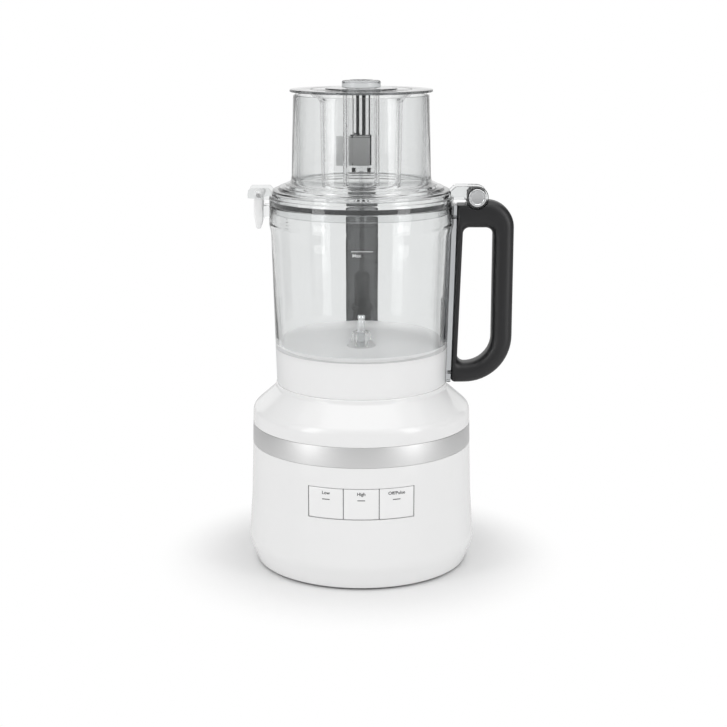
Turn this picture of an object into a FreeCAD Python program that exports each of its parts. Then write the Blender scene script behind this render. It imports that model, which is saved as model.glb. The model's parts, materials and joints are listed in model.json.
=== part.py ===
"""Food processor with a locking bowl, a wide feed chute and three nested pushers.

All sizes are millimetres.  +Z is up, the feet stand on z = 0 and the drive spindle is the Z axis.
The buttons face -Y, the handle is at +X, the lid catch at -X and the interlock column at +Y.
"""

import FreeCAD, Part
import Sketcher
import math
import os
import re

Vector = FreeCAD.Vector

# Every size that can be chosen by itself: name, value, what it measures.
SIZES = [
    # Base housing, outside
    ("base_edge_height", 2.0, "gap under the housing's lower edge"),
    ("base_edge_radius", 99.8, "housing radius at the lower edge"),
    ("base_bulge_radius", 106.9, "housing radius at the widest place"),
    ("base_bulge_height", 23.0, "height of the widest place"),
    ("base_bulge_round", 22.0, "rounding of the bulge"),
    ("base_waist_radius", 103.9, "housing radius where the bulge runs out"),
    ("base_waist_height", 65.0, "height where the bulge runs out"),
    ("base_wall_radius", 101.6, "housing radius at the top of the wall"),
    ("base_wall_height", 149.0, "height of the top of the wall"),
    ("base_wall_round", 9.0, "rounding from the wall to the shoulder"),
    ("deck_radius", 79.8, "outer radius of the deck that the bowl stands on"),
    ("deck_height", 172.0, "height of the deck"),
    ("deck_lip", 4.0, "height of the upright edge below the deck"),
    ("spigot_radius", 73.0, "radius of the boss that the bowl fits over"),
    ("spigot_height", 196.0, "height of the top of that boss"),
    ("spigot_round", 3.0, "rounding of the boss's top edge"),
    ("base_wall", 3.0, "thickness of the housing"),
    ("deck_hole", 6.5, "radius of the hole in the boss for the spindle"),
    # Trim band
    ("band_low", 116.0, "height of the band's lower edge"),
    ("band_tall", 18.3, "height of the band"),
    ("band_thick", 1.6, "thickness of the band"),
    ("band_proud", 0.3, "how far the band stands out of the wall"),
    # Buttons and board
    ("panel_low", 68.0, "height of the button window's lower edge"),
    ("panel_tall", 29.0, "height of the button window"),
    ("panel_half", 47.5, "half the width of the button window"),
    ("panel_split", 16.0, "distance from the middle to each line between buttons"),
    ("button_gap", 0.6, "gap round each button"),
    ("button_proud", 0.4, "how far the buttons stand out of the wall"),
    ("button_set", 0.6, "how far the buttons' face circle lies inside the housing's"),
    ("flange_set", 1.8, "how far the buttons' flange lies inside the wall"),
    ("button_flange", 2.5, "height of the flange that keeps a button in"),
    ("button_thick", 2.2, "thickness of the flange"),
    ("button_travel", 1.6, "how far a button is pressed"),
    ("stem_radius", 2.6, "radius of a button's stem"),
    ("board_front", 80.0, "distance of the board's face from the axis"),
    ("board_thick", 1.6, "thickness of the control board"),
    ("board_half", 50.0, "half the width of the control board"),
    ("switch_size", 6.2, "side of a push switch"),
    ("switch_deep", 4.2, "depth of a push switch's case"),
    ("switch_nub", 1.2, "length of a push switch's plunger"),
    # Bottom
    ("cover_radius", 96.4, "radius of the bottom cover"),
    ("cover_low", 2.6, "height of the bottom cover's underside"),
    ("cover_thick", 3.0, "thickness of the bottom cover"),
    ("foot_circle", 80.0, "radius of the middle of the rubber ring that is the foot"),
    ("foot_half", 6.0, "half the width of the rubber ring"),
    ("foot_stud", 3.6, "radius of the studs that hold the ring"),
    ("screw_circle", 92.0, "distance of the bottom screws from the axis"),
    ("screw_radius", 1.7, "radius of a screw's shank"),
    ("screw_head", 3.4, "radius of a screw's head"),
    ("vent_radius", 58.0, "distance of the vents from the axis"),
    ("gland_radius", 7.0, "radius of the cord gland"),
    ("gland_bore", 3.6, "radius of the gland's bore"),
    ("gland_inside", 7.2, "how far the gland reaches inside"),
    ("gland_height", 32.0, "height of the cord gland"),
    # Motor and drive
    ("motor_back", 54.0, "distance of the motor shaft from the spindle"),
    ("stator_radius", 34.0, "radius of the stator"),
    ("rotor_radius", 24.2, "radius of the rotor"),
    ("air_gap", 0.8, "gap between the rotor and the stator"),
    ("stack_low", 66.0, "height of the lower end of the laminations"),
    ("stack_tall", 46.0, "height of the laminations"),
    ("coil_tall", 8.0, "height of the windings beyond the laminations"),
    ("motor_shaft_radius", 4.0, "radius of the motor shaft"),
    ("commutator_radius", 10.0, "radius of the commutator"),
    ("brush_reach", 24.0, "how far the brush holders reach from the motor's axis"),
    ("commutator_tall", 12.0, "height of the commutator"),
    ("fan_radius", 27.0, "radius of the cooling fan"),
    ("fan_hub", 7.2, "radius where the fan's blades start"),
    ("fan_tall", 8.0, "height of the cooling fan"),
    ("bracket_thick", 3.0, "thickness of the bearing brackets"),
    ("bracket_low", 38.0, "height of the lower bracket's underside"),
    ("bracket_high", 138.0, "height of the upper bracket's underside"),
    ("leg_radius", 2.4, "radius of the bracket legs"),
    ("leg_circle", 35.9, "radius of the circle that the bracket legs stand on"),
    ("small_pulley_radius", 9.0, "radius of the motor pulley"),
    ("large_pulley_radius", 36.0, "radius of the driven pulley"),
    ("pulley_hole", 5.4, "radius of the holes in the large pulley"),
    ("pulley_hole_circle", 22.3, "radius of the circle of those holes"),
    ("pulley_low", 20.0, "height of the pulleys' underside"),
    ("pulley_tall", 14.0, "height of the pulleys"),
    ("belt_thick", 2.4, "thickness of the belt"),
    ("belt_tall", 12.0, "width of the belt"),
    ("spindle_radius", 6.0, "radius of the spindle in its bearings"),
    ("spindle_low", 16.0, "height of the spindle's lower end"),
    ("spindle_step", 191.0, "height where the spindle narrows"),
    ("pin_radius", 3.6, "radius of the drive pin"),
    ("pin_neck", 3.9, "radius of the spindle inside the hub, below the drive pin"),
    ("pin_seat", 217.4, "height where the drive pin starts"),
    ("pin_round", 2.5, "rounding of the drive pin's tip"),
    ("pin_top", 233.0, "height of the drive pin's tip"),
    ("bearing_radius", 14.0, "outer radius of the spindle bearings"),
    ("bearing_tall", 8.0, "height of the spindle bearings"),
    ("bearing_low", 64.0, "height of the lower spindle bearing"),
    ("tube_wall", 3.0, "wall of the spindle housing"),
    ("running_fit", 0.05, "radial clearance of a shaft in its bearing"),
    ("clear_gap", 0.3, "clearance between pieces that only pass each other"),
    # Bowl
    ("bowl_foot_radius", 79.1, "bowl radius at the bottom of the skirt"),
    ("bowl_foot_height", 172.3, "height of the bottom of the skirt"),
    ("bowl_floor", 203.4, "height of the bowl's floor, inside"),
    ("bowl_floor_thick", 2.8, "thickness of the bowl's floor"),
    ("bowl_top_radius", 82.9, "bowl radius below the rim"),
    ("bowl_ledge", 312.0, "height where the bowl flares to the rim"),
    ("bowl_rim_radius", 84.6, "radius of the rim"),
    ("bowl_rim_low", 320.0, "height of the rim's lower edge"),
    ("bowl_rim_top", 338.0, "height of the rim"),
    ("bowl_wall", 2.6, "thickness of the bowl's wall"),
    ("hub_low_radius", 12.0, "radius of the hub at the floor"),
    ("hub_top_radius", 8.4, "radius of the hub at its top"),
    ("hub_top", 217.0, "height of the hub's top"),
    ("hub_bore", 4.4, "radius of the hub's bore"),
    ("bowl_lift", 80.0, "how far the bowl is lifted to clear the pin and the boss"),
    ("key_half", 4.0, "half the width of the locating key"),
    ("rib_tall", 46.0, "height of the two ribs inside the bowl"),
    ("rib_in", 75.2, "how far from the axis the inner ribs start"),
    ("rib_out", 78.81, "how far from the axis the inner ribs end"),
    # Interlock column
    ("column_middle", 0.5, "sideways place of the column"),
    ("column_half", 16.0, "half the width of the column"),
    ("column_back", 101.5, "distance of the column's back from the spindle axis"),
    ("column_low", 176.6, "height of the column's lower end"),
    ("column_top", 333.0, "height of the column's top"),
    ("column_wall", 2.0, "thickness of the column"),
    ("column_front", 83.2, "distance of the column's hollow from the spindle axis"),
    ("column_round", 6.0, "rounding of the column's rear corners"),
    ("rod_tip_radius", 4.0, "radius of the rod's lower tip"),
    ("rod_low", 168.0, "height of the rod's lower tip"),
    ("rod_body_radius", 8.5, "radius of the rod's body"),
    ("rod_flare", 1.0, "how far the skirt stands out where it meets the collar"),
    ("rod_body_top", 258.0, "height of the rod body's top"),
    ("rod_collar_low", 219.0, "height of the rod's collar"),
    ("rod_collar_tall", 4.5, "height of the rod's collar"),
    ("rod_collar_radius", 12.0, "radius of the rod's collar"),
    ("boot_low", 199.0, "height of the lower edge of the rod's skirt"),
    ("push_pin_radius", 2.4, "radius of the pin above the rod"),
    ("push_pin_proud", 0.6, "how far the pin stands out of the column"),
    ("rod_travel", 4.0, "how far the interlock is pressed"),
    ("spring_radius", 6.2, "radius of the return spring's coil"),
    ("spring_wire", 0.7, "radius of the spring wire"),
    ("spring_pitch", 4.0, "pitch of the return spring"),
    # Handle and hinge
    ("handle_half", 13.0, "half the thickness of the handle"),
    ("handle_out", 140.0, "distance of the handle's outer face"),
    ("handle_low", 171.6, "height of the handle's lower end"),
    ("handle_top", 342.0, "height of the handle's top"),
    ("handle_in_top", 87.6, "distance of the handle's inner face at the top"),
    ("handle_in_low", 83.4, "distance of the handle's inner face at the bottom"),
    ("handle_step", 338.0, "height of the handle's top beside the lid"),
    ("step_out", 8.12, "how far the step beside the lid reaches along the handle"),
    ("top_screw_down", 16.0, "height of the upper handle screw below the handle's top"),
    ("handle_grip", 19.0, "thickness of the grip"),
    ("handle_back", 5.8, "thickness of the handle beside the bowl"),
    ("handle_roof", 25.0, "thickness of the handle above the fingers"),
    ("handle_sill", 18.4, "thickness of the handle below the fingers"),
    ("handle_heel_round", 44.0, "outer rounding at the bottom"),
    ("handle_top_round", 25.0, "outer rounding at the top"),
    ("finger_heel_round", 24.0, "rounding of the finger gap at the bottom"),
    ("finger_round", 6.0, "rounding of the finger gap at the top"),
    ("rail_half", 11.0, "half the thickness of the rail behind the handle"),
    ("hinge_out", 105.5, "distance of the hinge from the spindle axis"),
    ("hinge_height", 345.0, "height of the hinge"),
    ("hinge_pin_radius", 3.0, "radius of the hinge pin"),
    ("hinge_ear_radius", 8.4, "radius of the handle's ear"),
    ("hinge_ear_half", 6.0, "half the thickness of the handle's ear"),
    ("knuckle_radius", 10.3, "radius of the lid's knuckles"),
    ("knuckle_wide", 6.0, "thickness of a knuckle"),
    ("hinge_cap_radius", 8.0, "radius of the hinge caps"),
    ("hinge_cap_thick", 1.8, "thickness of the hinge caps"),
    # Lid and chute
    ("lid_gap", 0.4, "gap between the bowl's rim and the lid"),
    ("lid_radius", 84.4, "radius of the lid"),
    ("lid_edge_tall", 7.4, "height of the lid's upright edge"),
    ("lid_top", 352.0, "height of the lid's lowest terrace"),
    ("lid_step", 2.6, "height of each terrace"),
    ("lid_under", 349.4, "height of the lid's underside"),
    ("lid_terrace_one", 81.0, "outer radius of the lowest terrace"),
    ("lid_terrace_two", 75.5, "outer radius of the second terrace"),
    ("lid_terrace_three", 69.5, "outer radius of the third terrace"),
    ("plug_radius", 80.9, "outer radius of the ring that enters the bowl"),
    ("plug_wall", 2.3, "thickness of that ring"),
    ("plug_low", 331.0, "height of the ring's lower edge"),
    ("seal_wide", 1.6, "width of the lid seal"),
    ("seal_tall", 4.2, "height of the lid seal"),
    ("chute_low", 345.0, "height of the chute's lower end"),
    ("chute_low_radius", 63.8, "outer radius of the chute at the lid"),
    ("chute_top_radius", 61.6, "outer radius of the chute at its mouth"),
    ("chute_top", 437.0, "height of the chute's mouth"),
    ("chute_wall", 1.5, "thickness of the chute"),
    # Catch
    ("catch_out", 93.5, "distance of the catch's pin from the spindle axis"),
    ("catch_height", 347.5, "height of the catch's pin"),
    ("catch_pin_radius", 2.0, "radius of the catch's pin"),
    ("catch_half", 12.0, "half the width of the catch"),
    ("catch_inner", 89.9, "distance of the catch's inner face"),
    ("catch_outer", 97.8, "distance of the catch's outer face"),
    ("catch_top", 350.8, "height of the catch's top"),
    ("catch_low", 316.7, "height of the catch's tip"),
    ("cheek_thick", 2.8, "thickness of the cheeks that hold the catch"),
    ("cheek_out", 104.0, "how far the cheeks reach"),
    ("cheek_low", 343.2, "height of the cheeks' lower edge"),
    ("cheek_top", 354.0, "height of the cheeks' top"),
    ("lug_out", 89.3, "how far the bowl's lug reaches"),
    ("lug_low", 326.0, "height of the lug's lower edge"),
    ("lug_half", 10.0, "half the width of the lug"),
    # Interlock slider on the lid
    ("slider_low", 364.0, "height of the slider's lower end"),
    ("slider_top", 390.0, "height of the slider's top"),
    ("slider_half", 10.7, "half the width of the slider's body"),
    ("slider_round", 4.3, "rounding of the slider's rear edges"),
    ("slider_front", 64.4, "distance of the slider's face from the axis"),
    ("slider_back", 70.2, "distance of the slider's back from the axis"),
    ("slider_flag", 26.4, "how far the slider's flag reaches sideways"),
    ("slider_flag_thick", 1.6, "thickness of the flag"),
    ("guide_thick", 2.0, "thickness of the slider's guide"),
    ("guide_half", 13.0, "half the width of the guide"),
    ("arm_half", 2.6, "half the width of the arm"),
    ("arm_low", 361.8, "height of the arm's underside"),
    ("arm_tall", 4.0, "height of the arm"),
    ("rod_middle", 91.35, "distance of the interlock rod from the spindle axis"),
    # Pushers
    ("pusher_gap", 0.6, "gap between nested pushers and tubes"),
    ("pusher_wall", 2.0, "thickness of the pushers"),
    ("pusher_top", 439.6, "height of the pushers' walls"),
    ("pusher_cap_thick", 2.4, "thickness of the pushers' top discs"),
    ("large_radius", 59.4, "radius of the large pusher at the top"),
    ("large_low_radius", 58.8, "radius of the large pusher at the bottom"),
    ("large_low", 346.4, "height of the large pusher's bottom"),
    ("large_round", 9.0, "rounding of the large pusher's bottom edge"),
    ("flange_radius", 65.0, "radius of the large pusher's flange"),
    ("tab_half", 4.0, "half the width of the tab that presses the slider"),
    ("tab_thick", 1.6, "thickness of the tab"),
    ("medium_radius", 35.0, "radius of the medium pusher at the shoulder"),
    ("medium_low_radius", 33.4, "radius of the medium pusher at the bottom"),
    ("medium_funnel", 45.3, "radius of the medium pusher's funnel"),
    ("medium_shoulder", 430.0, "height where the funnel starts"),
    ("medium_low", 348.0, "height of the medium pusher's bottom"),
    ("medium_round", 6.0, "rounding of the medium pusher's bottom edge"),
    ("medium_disc", 33.0, "radius of the raised disc on the medium pusher"),
    ("medium_disc_tall", 1.0, "height of the raised disc"),
    ("small_tube_radius", 16.6, "outer radius of the small feed tube"),
    ("small_radius", 14.0, "radius of the small pusher"),
    ("small_bore", 10.4, "radius of the small pusher's hollow"),
    ("small_low", 349.0, "height of the small pusher's bottom"),
    ("knob_radius", 17.7, "radius of the small pusher's knob"),
    ("knob_low", 443.5, "height of the knob's underside"),
    ("knob_top", 450.0, "height of the knob's top"),
]

FUNCTIONS = ("cos", "sin", "tan", "sqrt", "min", "max")
UPRIGHT = FreeCAD.Rotation()
ALONG_Y = FreeCAD.Rotation(Vector(1, 0, 0), -90)
ALONG_X = FreeCAD.Rotation(Vector(0, 1, 0), 90)


class Workshop:
    """The document, its table of sizes and the ways in which pieces are made."""

    def __init__(self, title, sizes):
        self.document = FreeCAD.newDocument(title)
        self.sheet = self.document.addObject("Spreadsheet::Sheet", "Sizes")
        for row, (alias, value, meaning) in enumerate(sizes, start=1):
            self.sheet.set(f"A{row}", meaning)
            self.sheet.set(f"B{row}", str(value))
            self.sheet.setAlias(f"B{row}", alias)
        self.document.recompute()
        self.nodes = []

    def link(self, formula):
        """Return a formula of size names as the document's own expression."""
        def spell(match):
            word = match.group(0)
            return word if word in FUNCTIONS else "Sizes." + word
        return re.sub(r"[a-z][a-z_]*", spell, str(formula))

    def number(self, formula):
        """Return the present value of a formula of size names."""
        value = self.sheet.evalExpression(self.link(formula))
        return float(getattr(value, "Value", value))

    def bind(self, thing, target, formula):
        """Tie one property of an object to a formula."""
        thing.setExpression(target, self.link(formula))

    def place(self, thing, at, turn=UPRIGHT):
        """Give an object a placement whose position follows the sizes."""
        thing.Placement = FreeCAD.Placement(Vector(*[self.number(part) for part in at]), turn)
        for side, formula in zip("xyz", at):
            self.bind(thing, "Placement.Base." + side, formula)

    def box(self, name, x, y, z):
        """Return a block from three (low, high) pairs of formulas."""
        block = self.document.addObject("Part::Box", name)
        for size, (low, high) in (("Length", x), ("Width", y), ("Height", z)):
            self.bind(block, size, f"({high}) - ({low})")
        self.place(block, (x[0], y[0], z[0]))
        return block

    def rod(self, name, radius, length, at, turn=UPRIGHT):
        """Return a cylinder that starts at a point and runs along Z, Y or X."""
        piece = self.document.addObject("Part::Cylinder", name)
        self.bind(piece, "Radius", radius)
        self.bind(piece, "Height", length)
        self.place(piece, at, turn)
        return piece

    def turned(self, name, corners, at=("0", "0", "0"), turn=UPRIGHT):
        """Return a body turned about its own Z axis from (radius, height, rounding) corners."""
        body = self.document.addObject("PartDesign::Body", name)
        sketch = self.outline(body, name + "Outline", "XZ_Plane", corners)
        revolution = body.newObject("PartDesign::Revolution", name + "Turned")
        revolution.Profile = sketch
        revolution.ReferenceAxis = (sketch, ["V_Axis"])
        revolution.Angle = 360
        sketch.Visibility = False
        self.place(body, at, turn)
        return body

    def prism(self, name, plane, corners, span):
        """Return a body of one outline, drawn on a plane and run from low to high across it."""
        low, high = span
        body = self.document.addObject("PartDesign::Body", name)
        sketch = self.outline(body, name + "Outline", plane, corners)
        start = f"-({high})" if plane == "XZ_Plane" else low
        sketch.AttachmentOffset = FreeCAD.Placement(Vector(0, 0, self.number(start)), UPRIGHT)
        self.bind(sketch, "AttachmentOffset.Base.z", start)
        pad = body.newObject("PartDesign::Pad", name + "Pad")
        pad.Profile = sketch
        self.bind(pad, "Length", f"({high}) - ({low})")
        sketch.Visibility = False
        return body

    def outline(self, body, name, plane, corners):
        """Return a closed sketch whose corners, and their roundings, follow the sizes."""
        sketch = body.newObject("Sketcher::SketchObject", name)
        origin = {feature.Role: feature for feature in body.Origin.OriginFeatures}
        sketch.AttachmentSupport = [(origin[plane], "")]
        sketch.MapMode = "FlatFace"
        points = [Vector(self.number(corner[0]), self.number(corner[1]), 0) for corner in corners]
        rounds = [self.number(corner[2]) if len(corner) > 2 else 0.0 for corner in corners]
        starts, ends, arcs = round_corners(points, rounds)
        count = len(corners)
        for index in range(count):
            sketch.addGeometry(Part.LineSegment(starts[index], ends[(index + 1) % count]), False)
        anchors = [sketch.addGeometry(Part.Point(point), True) for point in points]
        for index, anchor in enumerate(anchors):
            self.hold(sketch, "DistanceX", anchor, corners[index][0])
            self.hold(sketch, "DistanceY", anchor, corners[index][1])
        for index, arc in enumerate(arcs):
            before, after = (index - 1) % count, index
            if arc is None:
                add_constraint(sketch, "Coincident", before, 2, after, 1)
                add_constraint(sketch, "Coincident", after, 1, anchors[index], 1)
                continue
            curve = sketch.addGeometry(arc, False)
            starts_before = arc.StartPoint.distanceToPoint(ends[index]) < arc.Radius * 0.001
            first, last = (1, 2) if starts_before else (2, 1)
            add_constraint(sketch, "Tangent", before, 2, curve, first)
            add_constraint(sketch, "Tangent", curve, last, after, 1)
            add_constraint(sketch, "PointOnObject", anchors[index], 1, before)
            add_constraint(sketch, "PointOnObject", anchors[index], 1, after)
            radius = add_constraint(sketch, "Radius", curve, rounds[index])
            self.bind(sketch, f"Constraints[{radius}]", corners[index][2])
        return sketch

    def hold(self, sketch, kind, point, formula):
        """Hold one coordinate of a sketch's point at a formula of the sizes."""
        held = add_constraint(sketch, kind, -1, 1, point, 1, self.number(formula))
        self.bind(sketch, f"Constraints[{held}]", formula)

    def fuse(self, name, *things):
        """Return the things joined into one solid."""
        joined = self.document.addObject("Part::MultiFuse", name)
        joined.Shapes = list(things)
        joined.Refine = True
        return joined

    def shared(self, name, *things):
        """Return what the things have in common."""
        common = self.document.addObject("Part::MultiCommon", name)
        common.Shapes = list(things)
        return common

    def cut(self, name, base, *tools):
        """Return the base with every tool taken out of it."""
        tool = tools[0] if len(tools) == 1 else self.group(name + "Tools", *tools)
        left = self.document.addObject("Part::Cut", name)
        left.Base = base
        left.Tool = tool
        left.Refine = True
        return left

    def group(self, name, *things):
        """Return separate solids held as one object."""
        bundle = self.document.addObject("Part::Compound", name)
        bundle.Links = list(things)
        return bundle

    def node(self, name, thing):
        """Name a finished sub-part."""
        thing.Label = name
        self.nodes.append(thing)
        return thing

    def export(self, folder):
        """Check every object and write each sub-part to a file of its own."""
        self.document.recompute()
        faults = [item.Name for item in self.document.Objects
                  if {"Invalid", "Error"} & set(item.State)]
        for thing in self.nodes:
            if thing.Shape.isNull() or not thing.Shape.isValid() or not thing.Shape.Solids:
                faults.append(thing.Label)
        if faults:
            raise RuntimeError("objects that failed: " + ", ".join(faults))
        os.makedirs(folder, exist_ok=True)
        for thing in self.nodes:
            thing.Shape.exportStep(os.path.join(folder, thing.Label + ".step"))
            print(f"{thing.Label}: {len(thing.Shape.Solids)} solid(s), {thing.Shape.Volume:.0f} mm3")


def add_constraint(sketch, *words):
    """Add one constraint to a sketch and return its number."""
    return sketch.addConstraint(Sketcher.Constraint(*words))


def round_corners(points, rounds):
    """Return where each side starts and ends, and the arc at each corner that is rounded."""
    starts, ends, arcs = [], [], []
    for index, point in enumerate(points):
        radius = rounds[index]
        if radius <= 0:
            starts.append(point)
            ends.append(point)
            arcs.append(None)
            continue
        back = (points[index - 1] - point).normalize()
        ahead = (points[(index + 1) % len(points)] - point).normalize()
        half = back.getAngle(ahead) / 2
        reach = radius / math.tan(half)
        middle = (back + ahead).normalize()
        centre = point + middle * (radius / math.sin(half))
        first, last = point + back * reach, point + ahead * reach
        starts.append(last)
        ends.append(first)
        turns_left = back.cross(ahead).z < 0
        angles = [math.atan2(end.y - centre.y, end.x - centre.x) for end in (first, last)]
        circle = Part.Circle(centre, Vector(0, 0, 1), radius)
        arcs.append(Part.ArcOfCircle(circle, *(angles if turns_left else reversed(angles))))
    return starts, ends, arcs


def around(shop, count, start, circle):
    """Return (x, y) formulas for points spread evenly on a circle."""
    angles = [start + index * 360 / count for index in range(count)]
    return [(f"{circle} * cos({angle})", f"{circle} * sin({angle})") for angle in angles]


# ---------------------------------------------------------------- base

def base_outer_corners():
    """Corners of the housing's outside, from the lower edge to the shoulder."""
    return [
        ("base_edge_radius", "base_edge_height"),
        ("base_bulge_radius", "base_bulge_height", "base_bulge_round"),
        ("base_waist_radius", "base_waist_height"),
        ("base_wall_radius", "base_wall_height", "base_wall_round"),
        ("deck_radius", "deck_height - deck_lip"),
        ("deck_radius", "deck_height"),
    ]


def base_inner_corners():
    """Corners of the housing's inside, from the deck back down to the lower edge."""
    return [
        ("spigot_radius - base_wall", "deck_height - base_wall"),
        ("deck_radius - base_wall", "deck_height - deck_lip - base_wall / 2"),
        ("base_wall_radius - base_wall", "base_wall_height - base_wall / 2", "base_wall_round - base_wall"),
        ("base_waist_radius - base_wall", "base_waist_height"),
        ("base_bulge_radius - base_wall", "base_bulge_height", "base_bulge_round - base_wall"),
        ("base_edge_radius - base_wall", "base_edge_height"),
    ]


def base_housing(shop):
    """White shell: bulged wall, sloping shoulder, deck, boss for the bowl and rear pillar."""
    shell = shop.turned("HousingShell", base_outer_corners() + [
        ("spigot_radius", "deck_height"),
        ("spigot_radius", "spigot_height", "spigot_round"),
        ("deck_hole", "spigot_height"),
        ("deck_hole", "spigot_height - base_wall"),
        ("spigot_radius - base_wall", "spigot_height - base_wall"),
    ] + base_inner_corners())
    pillar = shop.box(
        "HousingPillar",
        ("column_middle - column_half - base_wall", "column_middle + column_half + base_wall"),
        ("deck_radius + clear_gap", "column_back"),
        ("base_wall_height - base_wall", "column_low - clear_gap"))
    key = shop.box(
        "HousingKey", ("-key_half", "key_half"),
        ("-spigot_radius - 2 * clear_gap", "-spigot_radius + base_wall / 2"),
        ("deck_height", "spigot_height - spigot_round"))
    posts = []
    for index, angle in enumerate((30, 120, 210, 300)):
        post = shop.box(
            f"HousingPost{index}", ("screw_circle - 2 * screw_head", "base_edge_radius - clear_gap"),
            ("-screw_head - base_wall / 2", "screw_head + base_wall / 2"),
            ("cover_low + cover_thick", "cover_low + cover_thick + 3 * base_wall"))
        turned = shop.document.addObject("Part::Compound", f"HousingPostTurned{index}")
        turned.Links = [post]
        turned.Placement = FreeCAD.Placement(Vector(), FreeCAD.Rotation(Vector(0, 0, 1), angle))
        posts.append(turned)
    whole = shop.fuse("HousingWhole", shell, pillar, key, *posts)
    hollow = shop.box(
        "PillarHollow",
        ("column_middle - column_half + base_wall", "column_middle + column_half - base_wall"),
        ("deck_radius + clear_gap + base_wall", "column_back - base_wall"),
        ("base_wall_height - 3 * base_wall", "column_low - clear_gap - base_wall"))
    rod_hole = shop.rod(
        "PillarHole", "rod_tip_radius + 2 * clear_gap", "4 * base_wall",
        ("column_middle", "rod_middle", "column_low - 2 * base_wall"))
    window = shop.box(
        "ButtonWindow", ("-panel_half", "panel_half"), ("-base_bulge_radius", "-board_front"),
        ("panel_low", "panel_low + panel_tall"))
    groove = shop.turned("BandGroove", [
        ("base_wall_radius + band_proud - band_thick", "band_low"),
        ("base_bulge_radius", "band_low"),
        ("base_bulge_radius", "band_low + band_tall"),
        ("base_wall_radius + band_proud - band_thick", "band_low + band_tall"),
    ])
    gland_hole = shop.rod(
        "GlandHole", "gland_radius", "6 * base_wall",
        ("0", "base_bulge_radius - 4 * base_wall", "gland_height"), ALONG_Y)
    screw_holes = [
        shop.rod(f"PostHole{index}", "screw_radius", "2 * base_wall", (x, y, "cover_low + cover_thick"))
        for index, (x, y) in enumerate(around(shop, 4, 30, "screw_circle"))]
    shop.node("base_housing", shop.cut(
        "HousingCut", whole, hollow, rod_hole, window, groove, gland_hole, *screw_holes))


def trim_band(shop):
    """Satin metal band let into the wall."""
    shop.node("trim_band", shop.turned("TrimBand", [
        ("base_wall_radius + band_proud - band_thick", "band_low"),
        ("base_wall_radius + 2 * band_proud", "band_low"),
        ("base_wall_radius + band_proud", "band_low + band_tall"),
        ("base_wall_radius + band_proud - band_thick", "band_low + band_tall"),
    ]))


def push_button(shop, name, left, right):
    """One curved button between two upright edges, with its flange and stem."""
    middle = f"(({left}) + ({right})) / 2"
    face_radius = "base_waist_radius - button_set + button_proud"
    face = shop.turned(name + "Face", [
        ("base_wall_radius - 2 * base_wall", "panel_low + button_gap"),
        (face_radius, "panel_low + button_gap"),
        (face_radius, "panel_low + panel_tall - button_gap"),
        ("base_wall_radius - 2 * base_wall", "panel_low + panel_tall - button_gap"),
    ])
    flange_radius = "base_wall_radius - flange_set"
    flange = shop.turned(name + "Flange", [
        (f"{flange_radius} - button_thick", "panel_low - button_flange"),
        (flange_radius, "panel_low - button_flange"),
        (flange_radius, "panel_low + panel_tall + button_flange"),
        (f"{flange_radius} - button_thick", "panel_low + panel_tall + button_flange"),
    ])
    plate = shop.fuse(name + "Plate", face, flange)
    slot = shop.box(
        name + "Slot", (left, right), ("-base_bulge_radius", "-board_front + base_wall"),
        ("panel_low - 2 * button_flange", "panel_low + panel_tall + 2 * button_flange"))
    return shop.shared(name + "Cap", plate, slot), middle


def buttons(shop):
    """The three buttons, each with a stem that reaches towards its switch."""
    half_gap = "button_gap / 2"
    limits = {
        "button_low": ("-panel_half + button_gap", f"-panel_split - {half_gap}"),
        "button_high": (f"-panel_split + {half_gap}", f"panel_split - {half_gap}"),
        "button_off_pulse": (f"panel_split + {half_gap}", "panel_half - button_gap"),
    }
    stem_end = "-board_front - switch_deep - switch_nub - button_travel - clear_gap"
    for label, (left, right) in limits.items():
        name = label.title().replace("_", "")
        cap, middle = push_button(shop, name, left, right)
        stem_start = f"-sqrt((base_wall_radius - base_wall)^2 - ({middle})^2)"
        stem = shop.rod(
            name + "Stem", "stem_radius", f"({stem_end}) - ({stem_start})",
            (middle, stem_start, "panel_low + panel_tall / 2"), ALONG_Y)
        shop.node(label, shop.fuse(name + "Button", cap, stem))


def button_middles():
    """Sideways places of the three buttons' middles."""
    side = "(panel_split + panel_half - button_gap / 2) / 2"
    return (f"-{side}", "0", side)


def controls(shop):
    """Control board, its carrier and the three push switches behind the buttons."""
    middle = "panel_low + panel_tall / 2"
    board = shop.box(
        "ControlBoard", ("-board_half", "board_half"), ("-board_front", "-board_front + board_thick"),
        ("panel_low - button_flange", "panel_low + panel_tall + button_flange"))
    shop.node("control_board", board)
    carrier_half = "sqrt((base_wall_radius - base_wall + 3 * clear_gap)^2 - (board_front - board_thick)^2)"
    carrier = shop.box(
        "CarrierPlate", (f"-{carrier_half}", carrier_half),
        ("-board_front + board_thick", "-board_front + 3 * board_thick"),
        ("panel_low - 2 * button_flange", "panel_low + panel_tall + 2 * button_flange"))
    opening = shop.box(
        "CarrierOpening", ("-board_half + 4 * board_thick", "board_half - 4 * board_thick"),
        ("-board_front", "-board_front + 4 * board_thick"),
        ("panel_low + 2 * button_flange", "panel_low + panel_tall - 2 * button_flange"))
    shop.node("board_carrier", shop.cut("BoardCarrier", carrier, opening))
    switches = []
    for index, x in enumerate(button_middles()):
        case = shop.box(
            f"SwitchCase{index}", (f"{x} - switch_size / 2", f"{x} + switch_size / 2"),
            ("-board_front - switch_deep", "-board_front"),
            (f"{middle} - switch_size / 2", f"{middle} + switch_size / 2"))
        nub = shop.rod(
            f"SwitchNub{index}", "switch_size / 4", "switch_nub + switch_deep / 2",
            (x, "-board_front - switch_deep - switch_nub", middle), ALONG_Y)
        switches.append(shop.fuse(f"PushSwitch{index}", case, nub))
    shop.node("button_switches", shop.group("ButtonSwitches", *switches))


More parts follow.
